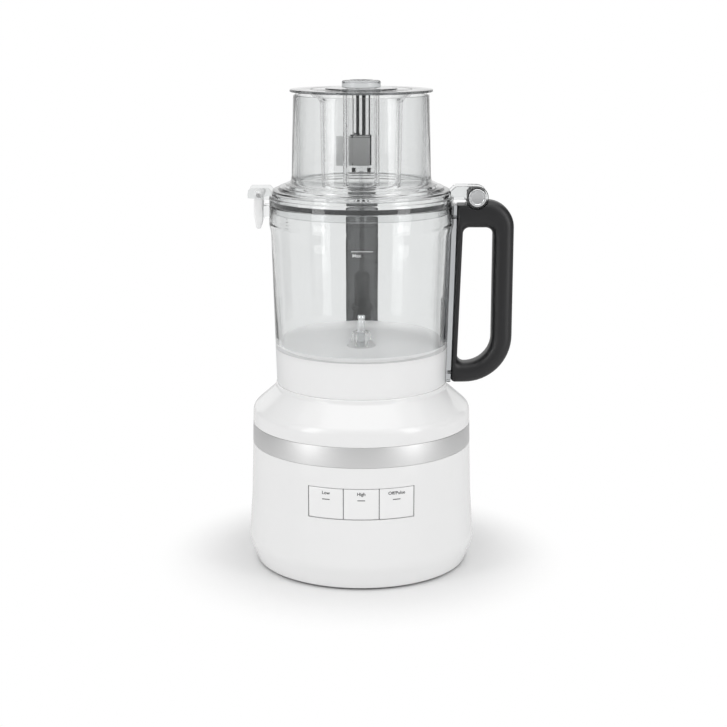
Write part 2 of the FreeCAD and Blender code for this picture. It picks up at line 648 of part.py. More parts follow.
def bottom(shop):
    """Bottom cover with vents, its screws, the rubber foot ring and the cord gland."""
    cover = shop.rod("CoverDisc", "cover_radius", "cover_thick", ("0", "0", "cover_low"))
    tools = []
    for index, (x, y) in enumerate(around(shop, 4, 45, "foot_circle")):
        tools.append(shop.rod(f"StudHole{index}", "foot_stud", "2 * cover_thick",
                              (x, y, "cover_low - cover_thick / 2")))
    for index, (x, y) in enumerate(around(shop, 4, 30, "screw_circle")):
        tools.append(shop.rod(f"CoverHole{index}", "screw_radius + clear_gap", "2 * cover_thick",
                              (x, y, "cover_low - cover_thick / 2")))
    for index, (x, y) in enumerate(around(shop, 12, 15, "vent_radius")):
        tools.append(shop.rod(f"Vent{index}", "foot_stud", "2 * cover_thick",
                              (x, y, "cover_low - cover_thick / 2")))
    shop.node("bottom_cover", shop.cut("BottomCover", cover, *tools))
    ring_low = shop.turned("FootRing", [
        ("foot_circle - foot_half + cover_low / 2", "0"),
        ("foot_circle + foot_half - cover_low / 2", "0"),
        ("foot_circle + foot_half", "cover_low"),
        ("foot_circle - foot_half", "cover_low"),
    ])
    studs = [shop.rod(f"FootStud{index}", "foot_stud", "cover_thick + cover_low / 2", (x, y, "cover_low / 2"))
             for index, (x, y) in enumerate(around(shop, 4, 45, "foot_circle"))]
    shop.node("rubber_foot", shop.fuse("RubberFoot", ring_low, *studs))
    screws = []
    for index, (x, y) in enumerate(around(shop, 4, 30, "screw_circle")):
        screws.append(shop.turned(f"BottomScrew{index}", [
            ("0", "cover_low - screw_radius"),
            ("screw_head - screw_radius / 2", "cover_low - screw_radius"),
            ("screw_head", "cover_low"),
            ("screw_radius", "cover_low"),
            ("screw_radius", "cover_low + cover_thick + 2 * base_wall"),
            ("0", "cover_low + cover_thick + 2 * base_wall"),
        ], (x, y, "0")))
    shop.node("bottom_screws", shop.group("BottomScrews", *screws))
    shop.node("cord_gland", shop.turned("CordGland", [
        ("gland_bore", "-gland_inside"),
        ("gland_radius", "-gland_inside"),
        ("gland_radius", "0"),
        ("gland_radius + base_wall / 2", "base_wall / 3"),
        ("gland_radius + base_wall / 2", "base_wall"),
        ("gland_radius - base_wall / 2", "2 * base_wall"),
        ("gland_bore", "2 * base_wall"),
    ], ("0", "base_bulge_radius", "gland_height"), ALONG_Y))


# ---------------------------------------------------------------- motor and drive

def ring(shop, name, inner, outer, low, high, at=("0", "0", "0")):
    """A plain ring between two radii and two heights."""
    return shop.turned(name, [(inner, low), (outer, low), (outer, high), (inner, high)], at)


def motor(shop):
    """Upright universal motor behind the spindle, with its pulley below it."""
    at = ("0", "motor_back", "0")
    stack_high = "stack_low + stack_tall"
    shaft_bore = "motor_shaft_radius + running_fit"
    shop.node("motor_stator", ring(
        shop, "MotorStator", "rotor_radius + air_gap", "stator_radius", "stack_low", stack_high, at))
    coils = [
        ring(shop, "CoilLow", "rotor_radius + 2 * air_gap", "stator_radius - air_gap",
             "stack_low - coil_tall", "stack_low", at),
        ring(shop, "CoilHigh", "rotor_radius + 2 * air_gap", "stator_radius - air_gap",
             stack_high, f"{stack_high} + coil_tall", at)]
    legs_low, legs_high, pillars = [], [], []
    for index, angle in enumerate((10, 90, 170)):
        x = f"leg_circle * cos({angle})"
        y = f"motor_back + leg_circle * sin({angle})"
        legs_low.append(shop.rod(
            f"LegLow{index}", "leg_radius", "stack_low + leg_radius - bracket_low", (x, y, "bracket_low")))
        legs_high.append(shop.rod(
            f"LegHigh{index}", "leg_radius", f"bracket_high - ({stack_high}) + leg_radius + bracket_thick",
            (x, y, f"{stack_high} - leg_radius")))
        pillars.append(shop.rod(
            f"Pillar{index}", "2 * leg_radius", "bracket_low - bracket_thick - cover_low - cover_thick",
            (x, y, "cover_low + cover_thick")))
    shop.node("field_coils", shop.group("FieldCoils", *coils))
    shop.node("rotor_core", ring(
        shop, "RotorCore", "motor_shaft_radius", "rotor_radius", "stack_low", stack_high, at))
    commutator_low = f"{stack_high} + coil_tall + air_gap"
    shop.node("commutator", ring(
        shop, "Commutator", "motor_shaft_radius", "commutator_radius", commutator_low,
        f"{commutator_low} + commutator_tall", at))
    shop.node("motor_shaft", shop.turned("MotorShaft", [
        ("0", "pulley_low - air_gap"),
        ("motor_shaft_radius", "pulley_low - air_gap"),
        ("motor_shaft_radius", "bracket_high + 2 * bracket_thick"),
        ("0", "bracket_high + 2 * bracket_thick"),
    ], at))
    motor_fan(shop, at)
    bearing_radius = "2 * motor_shaft_radius + air_gap"
    disc = "stator_radius + leg_radius"
    low_top, high_top = "bracket_low + bracket_thick", "bracket_high + bracket_thick"
    low_plate = ring(shop, "LowPlate", bearing_radius, disc, "bracket_low", low_top, at)
    high_plate = ring(shop, "HighPlate", bearing_radius, disc, "bracket_high", high_top, at)
    stator_room = shop.rod("StatorRoom", "stator_radius", "bracket_high - bracket_low - 2 * bracket_thick",
                           ("0", "motor_back", "bracket_low + 3 * bracket_thick / 2"))
    lower = shop.fuse("LowerBracketWhole", low_plate, *legs_low)
    upper = shop.fuse("UpperBracketWhole", high_plate, *legs_high)
    shop.node("lower_bracket", shop.cut("LowerBracket", lower, stator_room))
    shop.node("upper_bracket", shop.cut("UpperBracket", upper, stator_room))
    cradle_plate = ring(
        shop, "CradlePlate", "small_pulley_radius + 2 * belt_thick", disc,
        "bracket_low - bracket_thick", "bracket_low", at)
    shop.node("motor_cradle", shop.fuse("MotorCradle", cradle_plate, *pillars))
    shop.node("motor_bearings", shop.group(
        "MotorBearings",
        ring(shop, "BearingLow", shaft_bore, bearing_radius, "bracket_low", low_top, at),
        ring(shop, "BearingHigh", shaft_bore, bearing_radius, "bracket_high", high_top, at)))
    brushes = []
    for index, side in enumerate(("-1", "1")):
        near, far = "commutator_radius + clear_gap", "brush_reach"
        x = (f"-({far})", f"-({near})") if side == "-1" else (near, far)
        brushes.append(shop.box(
            f"BrushHolder{index}", x, ("motor_back - motor_shaft_radius", "motor_back + motor_shaft_radius"),
            (f"{commutator_low} + air_gap", "bracket_high")))
    shop.node("brush_holders", shop.group("BrushHolders", *brushes))
    shop.node("motor_pulley", ring(
        shop, "MotorPulley", "motor_shaft_radius", "small_pulley_radius",
        "pulley_low", "pulley_low + pulley_tall", at))


def motor_fan(shop, at):
    """Cooling fan: a hub, a disc and twelve upright blades."""
    low = "bracket_low + 2 * bracket_thick"
    hub = ring(shop, "FanHub", "motor_shaft_radius", "2 * motor_shaft_radius", low, f"{low} + fan_tall", at)
    disc = ring(shop, "FanDisc", "motor_shaft_radius", "fan_radius", low, f"{low} + air_gap * 2", at)
    blades = []
    count = 12
    for index in range(count):
        blade = shop.box(f"FanBlade{index}", ("fan_hub", "fan_radius - air_gap"),
                         ("-air_gap / 2", "air_gap / 2"), (low, f"{low} + fan_tall"))
        turned = shop.document.addObject("Part::Compound", f"FanBladeTurned{index}")
        turned.Links = [blade]
        spin = FreeCAD.Rotation(Vector(0, 0, 1), index * 360 / count)
        turned.Placement = FreeCAD.Placement(Vector(0, shop.number("motor_back"), 0), spin)
        shop.bind(turned, "Placement.Base.y", "motor_back")
        blades.append(turned)
    shop.node("cooling_fan", shop.fuse("CoolingFan", hub, disc, *blades))


def belt_loop(shop, extra, low, high):
    """The prism that a belt's outside or inside fills round both pulleys."""
    big = shop.number("large_pulley_radius") + extra
    small = shop.number("small_pulley_radius") + extra
    span = shop.number("motor_back")
    lean = math.asin((big - small) / span)
    side = Vector(math.cos(lean), math.sin(lean), 0)
    mirrored = Vector(-side.x, side.y, 0)
    far = Vector(0, span, 0)
    edges = [
        Part.LineSegment(side * big, far + side * small).toShape(),
        Part.Arc(far + side * small, far + Vector(0, small, 0), far + mirrored * small).toShape(),
        Part.LineSegment(far + mirrored * small, mirrored * big).toShape(),
        Part.Arc(mirrored * big, Vector(0, -big, 0), side * big).toShape(),
    ]
    face = Part.Face(Part.Wire(edges))
    face.translate(Vector(0, 0, low))
    return face.extrude(Vector(0, 0, high - low))


def drive(shop):
    """Belt, driven pulley, spindle with its drive pin, and the bearings that carry it."""
    belt_low = shop.number("pulley_low + (pulley_tall - belt_tall) / 2")
    belt_high = belt_low + shop.number("belt_tall")
    gap = shop.number("clear_gap")
    belt = shop.document.addObject("Part::Feature", "DriveBelt")
    belt.Shape = belt_loop(shop, gap + shop.number("belt_thick"), belt_low, belt_high).cut(
        belt_loop(shop, gap, belt_low, belt_high))
    shop.node("drive_belt", belt)
    pulley_high = "pulley_low + pulley_tall"
    rim = ring(shop, "PulleyRim", "large_pulley_radius - belt_thick", "large_pulley_radius",
               "pulley_low", pulley_high)
    web = ring(shop, "PulleyWeb", "spindle_radius", "large_pulley_radius - belt_thick / 2",
               "pulley_low + pulley_tall / 3", "pulley_low + pulley_tall * 2 / 3")
    hub = ring(shop, "PulleyHub", "spindle_radius", "2 * spindle_radius", "pulley_low", pulley_high)
    holes = [shop.rod(f"PulleyHole{index}", "pulley_hole", "2 * pulley_tall",
                      (x, y, "pulley_low - pulley_tall / 2"))
             for index, (x, y) in enumerate(around(shop, 6, 0, "pulley_hole_circle"))]
    shop.node("large_pulley", shop.cut("LargePulley", shop.fuse("LargePulleyWhole", rim, web, hub), *holes))
    shop.node("drive_spindle", shop.turned("DriveSpindle", [
        ("0", "spindle_low"),
        ("spindle_radius", "spindle_low"),
        ("spindle_radius", "spindle_step"),
        ("pin_neck", "spindle_step"),
        ("pin_neck", "pin_seat"),
        ("pin_radius", "pin_seat"),
        ("pin_radius", "pin_top", "pin_round"),
        ("0", "pin_top"),
    ]))
    seat = "spigot_height - base_wall"
    tube_radius = "bearing_radius + tube_wall"
    shop.node("spindle_housing", shop.turned("SpindleHousing", [
        ("bearing_radius", "bearing_low"),
        (tube_radius, "bearing_low"),
        (tube_radius, f"{seat} - tube_wall"),
        ("2 * bearing_radius", f"{seat} - tube_wall"),
        ("2 * bearing_radius", seat),
        ("bearing_radius", seat),
    ]))
    bearings = []
    for index, low in enumerate(("bearing_low", "spindle_step - bearing_tall - air_gap")):
        bearings.append(ring(
            shop, f"SpindleBearing{index}", "spindle_radius + running_fit", "bearing_radius",
            low, f"{low} + bearing_tall"))
    shop.node("spindle_bearings", shop.group("SpindleBearings", *bearings))
    shop.node("shaft_seal", ring(
        shop, "ShaftSeal", "pin_neck + running_fit", "deck_hole", f"{seat} + air_gap / 2", "spigot_height"))


def interlock_switch(shop):
    """Small snap switch inside the rear pillar, below the interlock rod."""
    case_top = "rod_low - rod_travel - 3 * clear_gap - switch_nub"
    inner = "column_half - base_wall - clear_gap / 2"
    case = shop.box(
        "SnapSwitchCase", (f"column_middle - ({inner})", f"column_middle + ({inner})"),
        ("rod_middle - switch_size / 2", "rod_middle + switch_size / 2"),
        (f"{case_top} - 2 * switch_size", case_top))
    nub = shop.rod("SnapSwitchNub", "switch_nub", "2 * switch_nub",
                   ("column_middle", "rod_middle", f"{case_top} - switch_nub"))
    shop.node("interlock_switch", shop.fuse("InterlockSwitch", case, nub))


# ---------------------------------------------------------------- bowl

def bowl_outer_corners(extra="0"):
    """Corners of the bowl's outside, from the skirt to the rim."""
    return [
        (f"bowl_foot_radius + {extra}", "bowl_foot_height"),
        (f"bowl_top_radius + {extra}", "bowl_ledge"),
        (f"bowl_rim_radius + {extra}", "bowl_rim_low"),
        (f"bowl_rim_radius + {extra}", "bowl_rim_top"),
    ]


def work_bowl(shop):
    """Clear bowl: skirt, floor, hub, wall, rim, two inner ribs, locating channel and catch lug."""
    floor_radius = "bowl_foot_radius - bowl_wall"
    shell = shop.turned("BowlShell", bowl_outer_corners() + [
        ("bowl_rim_radius - bowl_wall", "bowl_rim_top"),
        ("bowl_rim_radius - bowl_wall", "bowl_rim_low + bowl_wall"),
        ("bowl_top_radius - bowl_wall", "bowl_ledge"),
        (f"{floor_radius} + clear_gap / 2", "bowl_floor", "2 * bowl_wall"),
        ("hub_low_radius", "bowl_floor", "bowl_wall"),
        ("hub_top_radius", "hub_top"),
        ("hub_bore", "hub_top"),
        ("hub_bore", "bowl_floor - bowl_floor_thick"),
        (floor_radius, "bowl_floor - bowl_floor_thick"),
        (floor_radius, "bowl_foot_height"),
    ])
    extras = [shop.box(
        "CatchLug", ("-lug_out", "-bowl_rim_radius + bowl_wall / 2"), ("-lug_half", "lug_half"),
        ("lug_low", "bowl_rim_top"))]
    for index, side in enumerate(("-", "")):
        near, far = f"{side}rib_in", f"{side}rib_out"
        x = (far, near) if side else (near, far)
        extras.append(shop.box(
            f"BowlRib{index}", x, ("-bowl_wall / 2", "bowl_wall / 2"),
            ("bowl_floor - bowl_floor_thick / 2", "bowl_floor + rib_tall")))
        inner = f"{side}(key_half + 2 * clear_gap)"
        outer = f"{side}(key_half + 2 * clear_gap + bowl_wall / 2)"
        x = (outer, inner) if side else (inner, outer)
        extras.append(shop.box(
            f"KeyRail{index}", x, (f"-({floor_radius}) - bowl_wall / 4", "-spigot_radius - clear_gap"),
            ("bowl_foot_height + bowl_wall", "bowl_floor - bowl_floor_thick / 2")))
    shop.node("work_bowl", shop.fuse("WorkBowl", shell, *extras))


def bowl_core(shop, name):
    """The solid space that the bowl's outside fills, used to shape what is fixed to it."""
    corners = bowl_outer_corners("clear_gap / 2") + [("0", "bowl_rim_top"), ("0", "bowl_foot_height")]
    return shop.turned(name, corners)


def rear_column(shop):
    """Smoked column on the back of the bowl that guides the interlock rod."""
    left, right = "column_middle - column_half", "column_middle + column_half"
    block = shop.prism("ColumnBlock", "XY_Plane", [
        (left, "bowl_foot_radius - bowl_wall"),
        (right, "bowl_foot_radius - bowl_wall"),
        (right, "column_back", "column_round"),
        (left, "column_back", "column_round"),
    ], ("column_low", "column_top"))
    hollow = shop.prism("ColumnHollow", "XY_Plane", [
        (f"{left} + column_wall", "column_front"),
        (f"{right} - column_wall", "column_front"),
        (f"{right} - column_wall", "column_back - column_wall", "column_round - column_wall"),
        (f"{left} + column_wall", "column_back - column_wall", "column_round - column_wall"),
    ], ("column_low + column_wall", "column_top - column_wall"))
    tip_hole = shop.rod("ColumnTipHole", "rod_tip_radius + clear_gap", "3 * column_wall",
                        ("column_middle", "rod_middle", "column_low - column_wall"))
    pin_hole = shop.rod("ColumnPinHole", "push_pin_radius + clear_gap", "3 * column_wall",
                        ("column_middle", "rod_middle", "column_top - 2 * column_wall"))
    shop.node("rear_column", shop.cut(
        "RearColumn", block, hollow, tip_hole, pin_hole, bowl_core(shop, "ColumnBowlSpace")))


def interlock_rod(shop):
    """Dark rod in the column, the pin above it and the spring that lifts it."""
    at = ("column_middle", "rod_middle", "0")
    boot_radius = "column_half - column_wall - 2 * clear_gap"
    profile = shop.turned("RodTurned", [
        ("0", "rod_low"),
        ("rod_tip_radius", "rod_low"),
        ("rod_tip_radius", "boot_low"),
        (boot_radius, "boot_low"),
        (boot_radius, "boot_low + spring_wire * 2"),
        ("rod_body_radius + rod_flare", "rod_collar_low"),
        ("rod_collar_radius", "rod_collar_low"),
        ("rod_collar_radius", "rod_collar_low + rod_collar_tall"),
        ("rod_body_radius", "rod_collar_low + rod_collar_tall"),
        ("rod_body_radius", "rod_body_top", "rod_body_radius / 2"),
        ("0", "rod_body_top"),
    ], at)
    room = shop.box(
        "RodRoom", (f"column_middle - ({boot_radius})", f"column_middle + ({boot_radius})"),
        ("column_front + clear_gap", "column_back - column_wall - clear_gap"), ("rod_low", "rod_body_top"))
    shop.node("interlock_rod", shop.shared("InterlockRod", profile, room))
    shop.node("push_pin", shop.rod(
        "PushPin", "push_pin_radius", "column_top + push_pin_proud - rod_body_top",
        ("column_middle", "rod_middle", "rod_body_top")))
    start = shop.number("column_low + column_wall + spring_wire") + shop.number("clear_gap")
    reach = shop.number("boot_low - spring_wire - clear_gap") - start
    coil = Part.makeHelix(shop.number("spring_pitch"), reach, shop.number("spring_radius"))
    section = Part.Wire(Part.makeCircle(
        shop.number("spring_wire"), Vector(shop.number("spring_radius"), 0, 0), Vector(0, 1, 0)))
    spring = shop.document.addObject("Part::Feature", "RodSpring")
    spring.Shape = Part.Wire(coil).makePipeShell([section], True, True)
    spring.Placement = FreeCAD.Placement(
        Vector(shop.number("column_middle"), shop.number("rod_middle"), start), UPRIGHT)
    shop.node("rod_spring", spring)


def handle(shop):
    """Black handle with a finger gap, the rail behind it, its screws and the hinge pin and caps."""
    outside = shop.prism("HandleOutside", "XZ_Plane", [
        ("handle_in_low", "handle_low"),
        ("handle_out", "handle_low", "handle_heel_round"),
        ("handle_out", "handle_top", "handle_top_round"),
        ("handle_in_top + step_out + handle_top - handle_step", "handle_top"),
        ("handle_in_top + step_out", "handle_step"),
        ("handle_in_top", "handle_step"),
    ], ("-handle_half", "handle_half"))
    fingers = shop.prism("FingerGap", "XZ_Plane", [
        ("handle_in_low + handle_back", "handle_low + handle_sill", "finger_round"),
        ("handle_out - handle_grip", "handle_low + handle_sill", "finger_heel_round"),
        ("handle_out - handle_grip", "handle_top - handle_roof", "finger_round"),
        ("handle_in_top + handle_back", "handle_top - handle_roof", "finger_round"),
    ], ("-2 * handle_half", "2 * handle_half"))
    ear = shop.rod("HandleEar", "hinge_ear_radius", "2 * hinge_ear_half",
                   ("hinge_out", "-hinge_ear_half", "hinge_height"), ALONG_Y)
    whole = shop.fuse("HandleWhole", shop.cut("HandleFrame", outside, fingers), ear)
    pocket_wide = "handle_half - hinge_ear_half + 2 * clear_gap"
    pockets = [
        shop.rod("KnucklePocketFront", "knuckle_radius + 2 * clear_gap", pocket_wide,
                 ("hinge_out", "-handle_half - 2 * clear_gap", "hinge_height"), ALONG_Y),
        shop.rod("KnucklePocketRear", "knuckle_radius + 2 * clear_gap", pocket_wide,
                 ("hinge_out", "hinge_ear_half", "hinge_height"), ALONG_Y)]
    bore = shop.rod("HandleBore", "hinge_pin_radius", "4 * handle_half",
                    ("hinge_out", "-2 * handle_half", "hinge_height"), ALONG_Y)
    screw_spots = (("handle_low + handle_sill / 2", "handle_in_low"),
                   ("handle_top - top_screw_down", "handle_in_top"))
    screws, holes = [], []
    for index, (height, inner) in enumerate(screw_spots):
        reach = f"{inner} - handle_back / 2"
        at = (reach, "0", height)
        holes.append(shop.rod(f"HandleScrewHole{index}", "screw_radius", "4 * handle_back", at, ALONG_X))
        screws.append(shop.rod(f"HandleScrew{index}", "screw_radius", "3 * handle_back", at, ALONG_X))
    shop.node("handle", shop.cut("Handle", whole, bore, *pockets, *holes))
    rail = shop.prism("RailBlock", "XZ_Plane", [
        ("bowl_foot_radius - bowl_wall", "bowl_foot_height"),
        (f"handle_in_low + {slope_of_handle()} * (bowl_foot_height - handle_low)", "bowl_foot_height"),
        ("handle_in_top", "handle_step"),
        ("bowl_top_radius - bowl_wall", "handle_step"),
    ], ("-rail_half", "rail_half"))
    shop.node("handle_rail", shop.cut("HandleRail", rail, bowl_core(shop, "RailBowlSpace"), *holes))
    shop.node("handle_screws", shop.group("HandleScrews", *screws))
    shop.node("hinge_pin", shop.rod(
        "HingePin", "hinge_pin_radius", "2 * handle_half",
        ("hinge_out", "-handle_half", "hinge_height"), ALONG_Y))
    shop.node("hinge_caps", shop.group(
        "HingeCaps",
        shop.rod("HingeCapFront", "hinge_cap_radius", "hinge_cap_thick",
                 ("hinge_out", "-handle_half - hinge_cap_thick", "hinge_height"), ALONG_Y),
        shop.rod("HingeCapRear", "hinge_cap_radius", "hinge_cap_thick",
                 ("hinge_out", "handle_half", "hinge_height"), ALONG_Y)))


def slope_of_handle():
    """How far the handle's inner face leans out for each unit of height."""
    return "(handle_in_top - handle_in_low) / (handle_step - handle_low)"


# ---------------------------------------------------------------- lid

def lid(shop):
    """Clear lid and chute in one moulding, with hinge knuckles, catch cheeks and slider guide."""
    edge_low = "bowl_rim_top + lid_gap"
    edge_top = f"{edge_low} + lid_edge_tall"
    seal_top = f"{edge_low} + seal_tall + lid_gap / 4"
    shell = shop.turned("LidShell", [
        ("chute_top_radius", "chute_top"),
        ("chute_low_radius", "lid_top + 3 * lid_step"),
        ("chute_low_radius", "lid_top + 2 * lid_step"),
        ("lid_terrace_three", "lid_top + 2 * lid_step"),
        ("lid_terrace_three", "lid_top + lid_step"),
        ("lid_terrace_two", "lid_top + lid_step"),
        ("lid_terrace_two", "lid_top"),
        ("lid_terrace_one", "lid_top"),
        ("plug_radius + seal_wide + clear_gap", edge_top),
        ("lid_radius", edge_top),
        ("lid_radius", edge_low),
        ("plug_radius + seal_wide", edge_low),
        ("plug_radius + seal_wide", seal_top),
        ("plug_radius", seal_top),
        ("plug_radius", "plug_low"),
        ("plug_radius - plug_wall", "plug_low"),
        ("plug_radius - plug_wall", "lid_under"),
        ("chute_low_radius", "lid_under"),
        ("chute_low_radius", "chute_low"),
        ("chute_low_radius - chute_wall", "chute_low"),
        ("chute_low_radius - chute_wall", "lid_top + 3 * lid_step"),
        ("chute_top_radius - chute_wall", "chute_top"),
    ])
    knuckle_near = "hinge_ear_half + clear_gap"
    knuckle_far = f"{knuckle_near} + knuckle_wide"
    parts = [shell]
    for index, (low, high) in enumerate((
            (f"-({knuckle_far})", f"-({knuckle_near})"), (knuckle_near, knuckle_far))):
        parts.append(shop.box(
            f"LidArm{index}", ("plug_radius", "hinge_out"), (low, high),
            ("cheek_low", "hinge_height + knuckle_radius")))
        parts.append(shop.rod(
            f"Knuckle{index}", "knuckle_radius", "knuckle_wide", ("hinge_out", low, "hinge_height"), ALONG_Y))
        cheek_near, cheek_far = "catch_half + clear_gap", "catch_half + clear_gap + cheek_thick"
        span = (f"-({cheek_far})", f"-({cheek_near})") if index == 0 else (cheek_near, cheek_far)
        parts.append(shop.box(
            f"CatchCheek{index}", ("-cheek_out", "-plug_radius"), span, ("cheek_low", "cheek_top")))
    guide = shop.box(
        "SliderGuide", ("-guide_half", "guide_half"),
        ("slider_back + clear_gap", "slider_back + clear_gap + guide_thick"),
        ("lid_top + lid_step / 2", "slider_top"))
    arm_slot = shop.box(
        "ArmSlot", ("-arm_half - clear_gap", "arm_half + clear_gap"),
        ("slider_back", "slider_back + 2 * guide_thick"),
        ("arm_low - rod_travel - clear_gap", "arm_low + arm_tall + clear_gap"))
    hinge_bore = shop.rod("KnuckleBore", "hinge_pin_radius + running_fit", "4 * handle_half",
                          ("hinge_out", "-2 * handle_half", "hinge_height"), ALONG_Y)
    catch_bore = shop.rod("CheekBore", "catch_pin_radius", "4 * catch_half",
                          ("-catch_out", "-2 * catch_half", "catch_height"), ALONG_Y)
    shop.node("lid", shop.cut("Lid", shop.fuse("LidWhole", *parts, guide), arm_slot, hinge_bore, catch_bore))
    shop.node("lid_seal", ring(
        shop, "LidSeal", "plug_radius", "plug_radius + seal_wide", edge_low, f"{edge_low} + seal_tall"))


def catch(shop):
    """White catch that swings on a pin between the lid's cheeks."""
    body = shop.prism("CatchBody", "XZ_Plane", [
        ("-catch_outer + clear_gap", "catch_top", "catch_pin_radius"),
        ("-catch_inner", "catch_top", "catch_pin_radius"),
        ("-catch_inner", "catch_low + 4 * catch_pin_radius"),
        ("-catch_inner - catch_pin_radius", "catch_low", "catch_pin_radius / 2"),
        ("-catch_outer + catch_pin_radius", "catch_low", "catch_pin_radius / 2"),
        ("-catch_outer", "bowl_rim_top"),
    ], ("-catch_half", "catch_half"))
    bore = shop.rod("CatchBore", "catch_pin_radius + running_fit", "4 * catch_half",
                    ("-catch_out", "-2 * catch_half", "catch_height"), ALONG_Y)
    shop.node("catch", shop.cut("Catch", body, bore))
    reach = "catch_half + clear_gap + cheek_thick"
    shop.node("catch_pin", shop.rod(
        "CatchPin", "catch_pin_radius", f"2 * ({reach})",
        ("-catch_out", f"-({reach})", "catch_height"), ALONG_Y))


def interlock_slider(shop):
    """White slider behind the chute, and the arm that carries its push to the column."""
    body = shop.prism("SliderBody", "XY_Plane", [
        ("-slider_half", "slider_front"),
        ("slider_half", "slider_front"),
        ("slider_half", "slider_back", "slider_round"),
        ("-slider_half", "slider_back", "slider_round"),
    ], ("slider_low", "slider_top"))
    flag = shop.box("SliderFlag", ("-slider_flag", "0"), ("slider_front", "slider_front + slider_flag_thick"),
                    ("slider_low", "slider_top"))
    bar_front = "slider_front + slider_flag_thick"
    bar_slot = shop.box("SliderBarSlot", ("-arm_half", "arm_half"), (bar_front, "slider_back"),
                        ("slider_low", "arm_low + arm_tall"))
    shop.node("interlock_slider", shop.cut("InterlockSlider", shop.fuse("SliderWhole", body, flag), bar_slot))
    bar = shop.box("ArmBar", ("-arm_half", "arm_half"), (bar_front, "rod_middle + arm_half"),
                   ("arm_low", "arm_low + arm_tall"))
    foot_low = "column_top + push_pin_proud + clear_gap"
    foot = shop.rod("ArmFoot", "push_pin_radius", f"arm_low + arm_tall / 2 - ({foot_low})",
                    ("column_middle", "rod_middle", foot_low))
    shop.node("interlock_arm", shop.fuse("InterlockArm", bar, foot))


# ---------------------------------------------------------------- pushers

def large_pusher(shop):
    """Grey hollow pusher that fills the chute, with its flange and the tab that works the slider."""
    inner_low = "medium_low_radius + pusher_gap"
    inner_high = "medium_radius + pusher_gap"
    shop.node("large_pusher", shop.turned("LargePusher", [
        (inner_low, "large_low"),
        ("large_low_radius", "large_low", "large_round"),
        ("large_radius", "pusher_top"),
        ("large_radius - pusher_wall", "pusher_top"),
        ("large_low_radius - pusher_wall", "large_low + pusher_wall", "large_round - pusher_wall"),
        (f"{inner_low} + pusher_wall", "large_low + pusher_wall"),
        (f"{inner_high} + pusher_wall", "medium_shoulder - pusher_wall"),
        ("medium_funnel + pusher_gap + pusher_wall", "pusher_top"),
        ("medium_funnel + pusher_gap", "pusher_top"),
        (inner_high, "medium_shoulder - pusher_wall"),
    ]))
    disc = ring(shop, "FlangeDisc", "medium_funnel + pusher_gap", "flange_radius",
                "pusher_top", "pusher_top + pusher_cap_thick")
    tab_front = "chute_low_radius + clear_gap"
    tab = shop.box("FlangeTab", ("-tab_half", "tab_half"), (tab_front, f"{tab_front} + tab_thick - clear_gap"),
                   ("slider_top + clear_gap", "pusher_top + pusher_cap_thick / 2"))
    shop.node("pusher_flange", shop.fuse("PusherFlange", disc, tab))


def medium_pusher(shop):
    """Middle pusher: a funnel-topped cup round the small feed tube, and its top disc."""
    top = "pusher_top"
    shop.node("medium_pusher", shop.turned("MediumPusher", [
        ("small_radius + pusher_gap", "medium_low"),
        ("medium_low_radius", "medium_low", "medium_round"),
        ("medium_radius", "medium_shoulder"),
        ("medium_funnel", top),
        ("medium_funnel - pusher_wall", top),
        ("medium_radius - pusher_wall", "medium_shoulder"),
        ("medium_low_radius - pusher_wall", "medium_low + pusher_wall", "medium_round - pusher_wall"),
        ("small_tube_radius", "medium_low + pusher_wall"),
        ("small_tube_radius", top),
        ("small_radius + pusher_gap", top),
    ]))
    disc_top = f"{top} + pusher_cap_thick"
    shop.node("medium_cap", shop.turned("MediumCap", [
        ("small_radius + pusher_gap", top),
        ("medium_funnel", top),
        ("medium_funnel", disc_top),
        ("medium_disc", disc_top),
        ("medium_disc", f"{disc_top} + medium_disc_tall"),
        ("small_radius + pusher_gap", f"{disc_top} + medium_disc_tall"),
    ]))


def small_pusher(shop):
    """Innermost pusher, a thick tube closed below, and the knob on top of it."""
    shop.node("small_pusher", shop.turned("SmallPusher", [
        ("0", "small_low"),
        ("small_radius", "small_low"),
        ("small_radius", "knob_low"),
        ("small_bore", "knob_low"),
        ("small_bore", "small_low + pusher_wall"),
        ("0", "small_low + pusher_wall"),
    ]))
    shop.node("small_knob", shop.turned("SmallKnob", [
        ("0", "knob_low"),
        ("knob_radius", "knob_low"),
        ("knob_radius", "knob_top", "pusher_wall"),
        ("small_bore", "knob_top", "pusher_wall / 2"),
        ("small_bore", "knob_top - pusher_wall"),
        ("0", "knob_top - pusher_wall"),
    ]))


def main():
    """Build every sub-part and write it out."""
    shop = Workshop("FoodProcessor", SIZES)
    for make in (
            base_housing, trim_band, buttons, controls, bottom, motor, drive, interlock_switch,
            work_bowl, rear_column, interlock_rod, handle, lid, catch, interlock_slider,
            large_pusher, medium_pusher, small_pusher):
        make(shop)
    shop.export("parts")


main()
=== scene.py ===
"""Food processor: the finished looks of the base, bowl, lid, handle and pushers, built round the fixed CAD frame."""

import json
import logging
import math
from collections.abc import Iterable, Sequence
from dataclasses import dataclass, field
from enum import Enum

import bmesh
import bpy
from mathutils import Matrix, Vector


